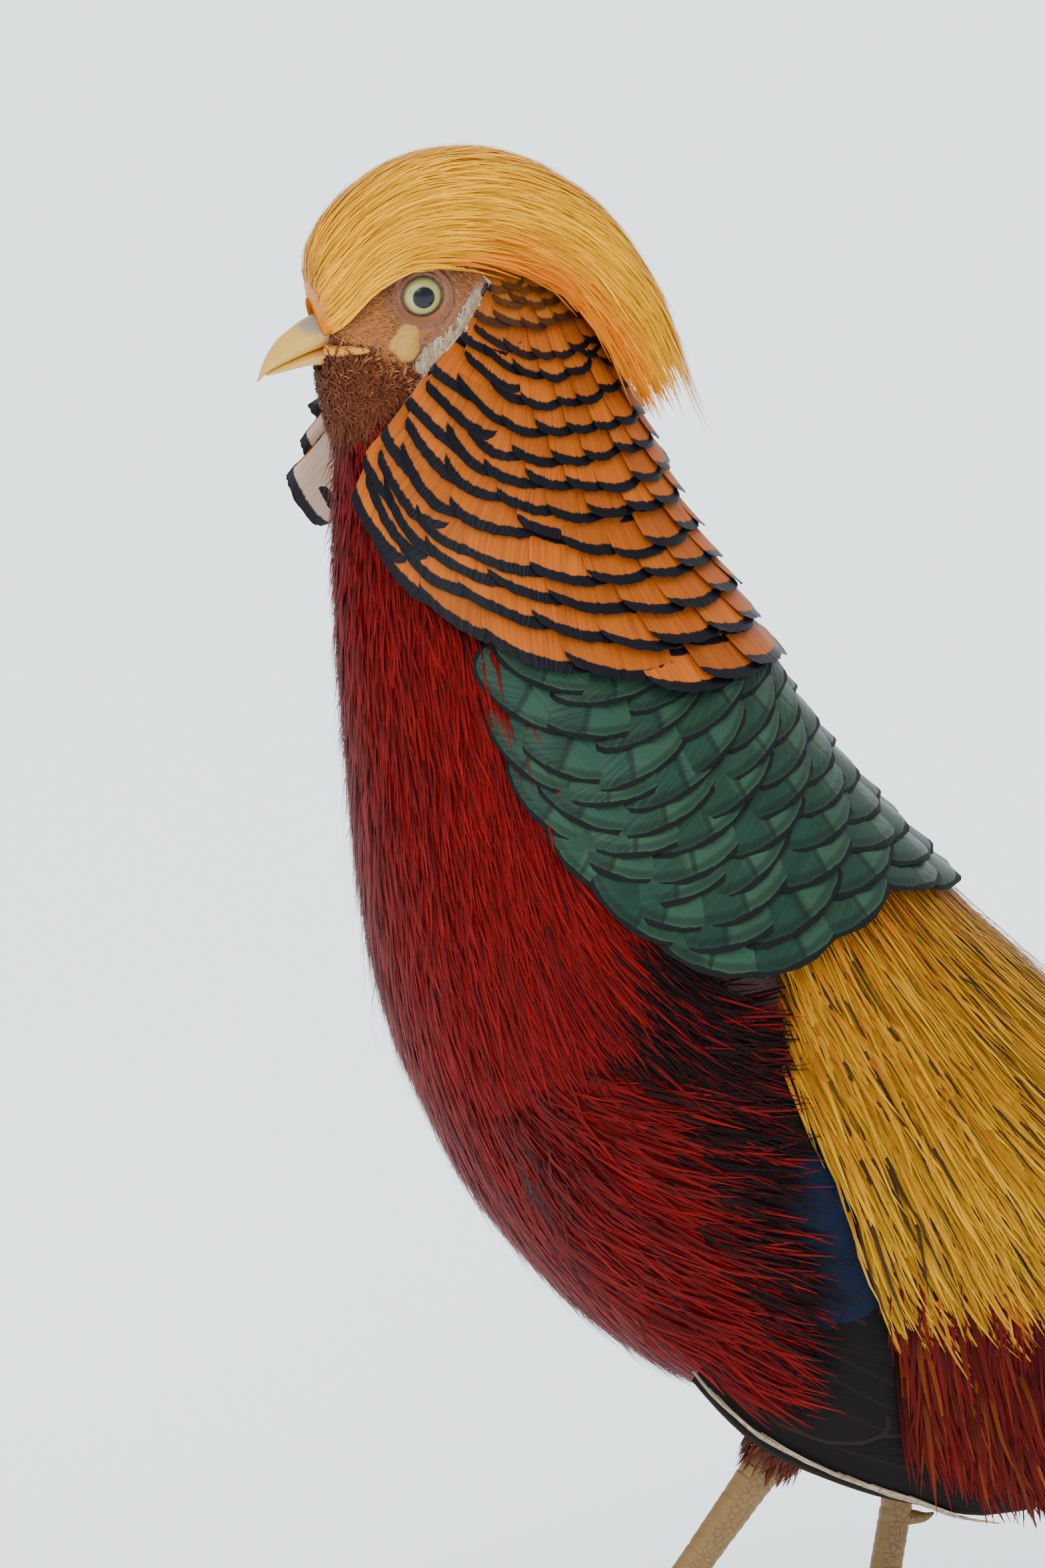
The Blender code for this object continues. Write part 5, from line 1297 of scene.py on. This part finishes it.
def makeEyes():
    eye = np.array(faceSet["eye"])
    opening, radius, outer = faceSet["opening"], faceSet["eyeRadius"], faceSet["lids"]
    share, angle = np.meshgrid(np.linspace(0, 1, 44) ** 1.25,
                               np.linspace(0, 2 * math.pi, 120, endpoint=False), indexing="ij")
    away = opening + (outer - opening) * share
    y, z = eye[0] + away * np.cos(angle), eye[1] + away * np.sin(angle) * 0.97
    spot, normal, u, v = faceAt(y, z)
    ridge = lambda place, wide: np.exp(-((away - place) / wide) ** 2)
    folds = 0.00085 * ridge(0.00535, 0.00042) - 0.00030 * ridge(0.0063, 0.00035)
    folds += 0.00045 * ridge(0.0071, 0.0005) + 0.00012 * ridge(0.0088, 0.0006)
    folds *= 1 + 0.25 * np.sin(angle + 0.6)
    crinkled = ramp(away, 0.0052, 0.007) * (1 - ramp(away, 0.010, 0.0125))
    folds += 0.00007 * wave(angle, share * 3, 7, 5) * crinkled
    folds += 0.00035 * ridge(0.0058, 0.0009) * np.exp(-((angle - 1.6) / 0.9) ** 2)
    spot = spot + normal * (folds + 0.00015 - 0.0006 * ramp(away, 0.0112, 0.0125))[..., None]
    ball = eyePlace[0] + np.sqrt(np.maximum(radius ** 2 - np.minimum(away, 0.0060) ** 2, 0)) - 0.0001
    hug = 1 - ramp(away, opening, 0.0064)
    spot[..., 0] = spot[..., 0] * (1 - hug) + (ball + folds * 0.4) * hug
    points, faces = paired(spot, ringFaces(*share.shape, True))
    bake = np.stack([u / (2 * math.pi) + 0.5, v / bodyRows], -1).reshape(-1, 2)
    local = np.stack([angle / (2 * math.pi), (away - opening) / (outer - opening)], -1).reshape(-1, 2)
    lid = meshPiece("eyelids", points, faces,
                    {"OFBake": np.concatenate([bake, bake * np.array([-1, 1]) + np.array([1, 0])]),
                     "Feather": np.tile(local, (2, 1))},
                    {}, lidFinish())
    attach(lid, "root")
    iris = eyeFinish()
    for side, word in ((1, "left"), (-1, "right")):
        turn, bend = np.meshgrid(np.linspace(0, 2 * math.pi, 64, endpoint=False),
                                 np.linspace(0, math.pi, 49)[1:-1])
        rim = radius * np.sin(bend)
        points = np.stack([eyePlace[0] + radius * np.cos(bend), eyePlace[1] + rim * np.cos(turn),
                           eyePlace[2] + rim * np.sin(turn)], -1)
        points[..., 0] += 0.00035 * np.exp(-(rim / 0.0032) ** 2) * (bend < 1.5)
        points = np.concatenate([points.reshape(-1, 3),
                                 [eyePlace + [radius + 0.00035, 0, 0], eyePlace - [radius, 0, 0]]])
        quads = ringFaces(*turn.shape, True)[:, ::side]
        cols, last = turn.shape[1], turn.size
        share = np.concatenate([np.where(bend < math.pi / 2, rim / radius, 1.0).ravel(), [0.0, 1.0]])
        around = np.concatenate([(turn / (2 * math.pi)).ravel(), [0.0, 0.0]])
        ball = meshPiece("eye" + word.capitalize(), points * np.array([side, 1, 1]), quads,
                         {"OFBake": np.stack([around, share], -1)}, {"share": share, "turn": around}, iris)
        bm = bmesh.new()
        bm.from_mesh(ball.data)
        bm.verts.ensure_lookup_table()
        for pole, ring in ((bm.verts[last], range(cols)), (bm.verts[last + 1], range(last - cols, last))):
            ring = list(ring)
            for k in range(cols):
                bm.faces.new((pole, bm.verts[ring[k]], bm.verts[ring[(k + 1) % cols]]))
        bmesh.ops.recalc_face_normals(bm, faces=bm.faces[:])
        bm.to_mesh(ball.data)
        bm.free()
        ball.data.shade_smooth()
        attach(ball, "root")
        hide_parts("eye_" + word)


def lobeRise(share, angle):
    outline = share * (1.08 + 0.13 * np.sin(3 * angle + 1) + 0.07 * np.sin(5 * angle))
    warts = wave(angle, share * 6, 9, 2) * ramp(share, 0.05, 0.5)
    return 0.0016 * np.clip(1 - outline ** 2.4, -1, 1) + 0.00014 * warts


makeEyes()
facePatch("cheekLobes", faceSet["lobe"], (0.0042, 0.0056), lobeRise, lobeFinish(), tilt=-0.25)
print("eyes and lids made")


def makeFace():
    eye, lobe, ear = (np.array(faceSet[key]) for key in ("eye", "lobe", "ear"))
    band = np.array([ear, *faceSet["chains"]])

    def toBand(spots):
        best = np.full(len(spots), 1.0)
        for a, b in zip(band[:-1], band[1:]):
            t = np.clip(((spots[:, 1:] - a) @ (b - a)) / ((b - a) @ (b - a)), 0, 1)
            best = np.minimum(best, np.linalg.norm(spots[:, 1:] - a - t[:, None] * (b - a), axis=1))
        return best

    def throatAt(u, v):
        spots = body(np.abs(u), v)
        return ramp(0.3385 - 0.25 * (spots[..., 1] + 0.105) - spots[..., 2], -0.0045, 0.0055)

    def chance(u, v):
        spots = body(np.abs(u), v)
        away = np.linalg.norm(spots[:, 1:] - eye, axis=1)
        lobed = np.linalg.norm((spots[:, 1:] - lobe) / np.array([0.0040, 0.0052]), axis=1)
        degrees = np.degrees(np.abs(u))
        end = np.interp(degrees, [60, 95, 111, 127, 146, 177], [4.5, 3.9, 3.6, 3.05, 2.4, 2.1])
        bare = np.interp(away, [0.0068, 0.0105, 0.013], [0.0, 0.35, 1.0])
        gape = (np.abs(spots[:, 2] - 0.3412) < 0.0022) & (spots[:, 1] < -0.1025)
        return ~gape * (lobed > 1.0) * (np.abs(u) > crestHalf(v) * 0.95) * (v < end) * bare
    for name, finish in (("face", faceRust), ("throat", throatBrown)):
        chosen = lambda u, v: chance(u, v) * ((throatAt(u, v) > rng.random(u.shape)) == (name == "throat"))
        n = faceSet[name]
        u, v = scatter(rng, n, body, (-math.pi, math.pi), (0.02, 4.9), chosen)
        spots = body(np.abs(u), v)
        away = np.linalg.norm(spots[:, 1:] - eye, axis=1)
        pale = ramp(0.0044 - toBand(spots), 0, 0.0018)
        fluff = throatAt(u, v)
        length = np.interp(away, [0.007, 0.03], [0.0014, 0.0042]) * rng.uniform(0.7, 1.3, n)
        length = np.where(pale > 0.5, 0.0046 * rng.uniform(0.7, 1.3, n), length * (1 + 0.75 * fluff))
        heading = rng.normal(0, 0.35, n) + pale * np.sign(u) * 0.6 + fluff * rng.normal(0, 0.55, n)
        tip = 0.0004 + 0.0022 * fluff * rng.random(n) ** 2 + rng.uniform(0, 0.0004, n)
        coat = Plumage(name, finish)
        wide = np.clip(length * rng.uniform(0.12, 0.22, n), 0.0002, 0.0008)
        tone = pale if name == "face" else ramp(v, 3.0, 4.2) * rng.random(n)
        coat.add(body, u, v, heading, length, wide, (-0.0003, tip * 0.7, tip), ((0, 0.7), (0.4, 1), (1, 0.1)),
                 rows=4 + (name == "throat"), rng=rng, tone=tone, curl=fluff * rng.normal(0, 1.2, n))
        coat.build()


makeFace()
# The ear slits are dark patches raised on the face: painted shade standing in for the ear openings.
slit = Finish("ear slit painted shade")
grain = slit.noise(slit.place(), 900.0)
facePatch("earSlits", faceSet["ear"], (0.0007, 0.0020), lambda share, angle: 0.0011 * (1 - 0.4 * share),
          slit.done(Base_Color=slit.mix(grain, rgb(0.006, 0.005, 0.006), rgb(0.04, 0.03, 0.03)),
                    Roughness=0.6), tilt=-0.45, rings=8, spokes=24, sink=0.0012)
print("face made")


studioSet = {"floor": 40, "sky": (0.86, 0.89, 0.93, 1), "skyStrength": 0.85, "aim": (0, -0.03, 0.2),
             "lamps": {"key": ((2.2, -1.6, 2.6), 2.4, 75), "top": ((0.2, 0.2, 3.2), 3.0, 60),
                       "fill": ((-2.4, 0.4, 1.6), 2.5, 22)}}


def makeStudio():
    bpy.ops.object.select_all(action="DESELECT")
    bpy.ops.mesh.primitive_plane_add(size=studioSet["floor"], location=(0, 0, -0.0004))
    floor = bpy.context.object
    floor.name = "floor"
    m = Finish("pale floor")
    floor.data.materials.append(m.done(Base_Color=rgb(0.93, 0.96, 0.98), Roughness=0.8,
                                       Emission_Color=rgb(0.74, 0.91, 1.0), Emission_Strength=0.85))
    world = bpy.data.worlds.new("soft sky")
    bpy.context.scene.world = world
    world.use_nodes = True
    sky = world.node_tree.nodes["Background"].inputs
    sky[0].default_value, sky[1].default_value = studioSet["sky"], studioSet["skyStrength"]
    for name, (place, size, power) in studioSet["lamps"].items():
        light = bpy.data.lights.new(name, "AREA")
        light.size, light.energy = size, power
        lamp = bpy.data.objects.new(name, light)
        lamp.location = Vector(place) + Vector(shift)
        aim = Vector(shift) + Vector(studioSet["aim"])
        lamp.rotation_euler = (aim - lamp.location).to_track_quat("-Z", "Y").to_euler()
        bpy.context.scene.collection.objects.link(lamp)


makeStudio()


# The view's turn to the front and rise in degrees, its distance, the pixels to a millimetre on a picture
# that is 2000 high, that picture's middle and the place of the guides' own zero on it.
cameraSet = {"turn": 12, "rise": 15, "distance": 8.0, "scale": 5.35, "middle": (666.5, 1000),
             "zero": (1000, 2210)}


def makeCamera():
    turn, rise = math.radians(cameraSet["turn"]), math.radians(cameraSet["rise"])
    distance, scale = cameraSet["distance"], cameraSet["scale"] * 1000
    across, down = (a - b for a, b in zip(cameraSet["middle"], cameraSet["zero"]))
    right = Vector((math.sin(turn), math.cos(turn), 0))
    up = Vector((-math.cos(turn) * math.sin(rise), math.sin(turn) * math.sin(rise), math.cos(rise)))
    away = right.cross(up)
    middle = right * (across / scale) - up * (down / scale + 0.0087)
    camera = bpy.data.objects.new("camera", bpy.data.cameras.new("camera"))
    bpy.context.scene.collection.objects.link(camera)
    camera.matrix_world = Matrix((right, up, away)).transposed().to_4x4()
    camera.location = Vector(shift) + middle + away * (distance + 0.085)
    camera.data.sensor_fit = "VERTICAL"
    camera.data.sensor_height = 36
    camera.data.lens = camera.data.sensor_height * distance / (2 * cameraSet["middle"][1] / scale)
    camera.data.clip_end = 50
    bpy.context.scene.camera = camera


makeCamera()

print("finished")
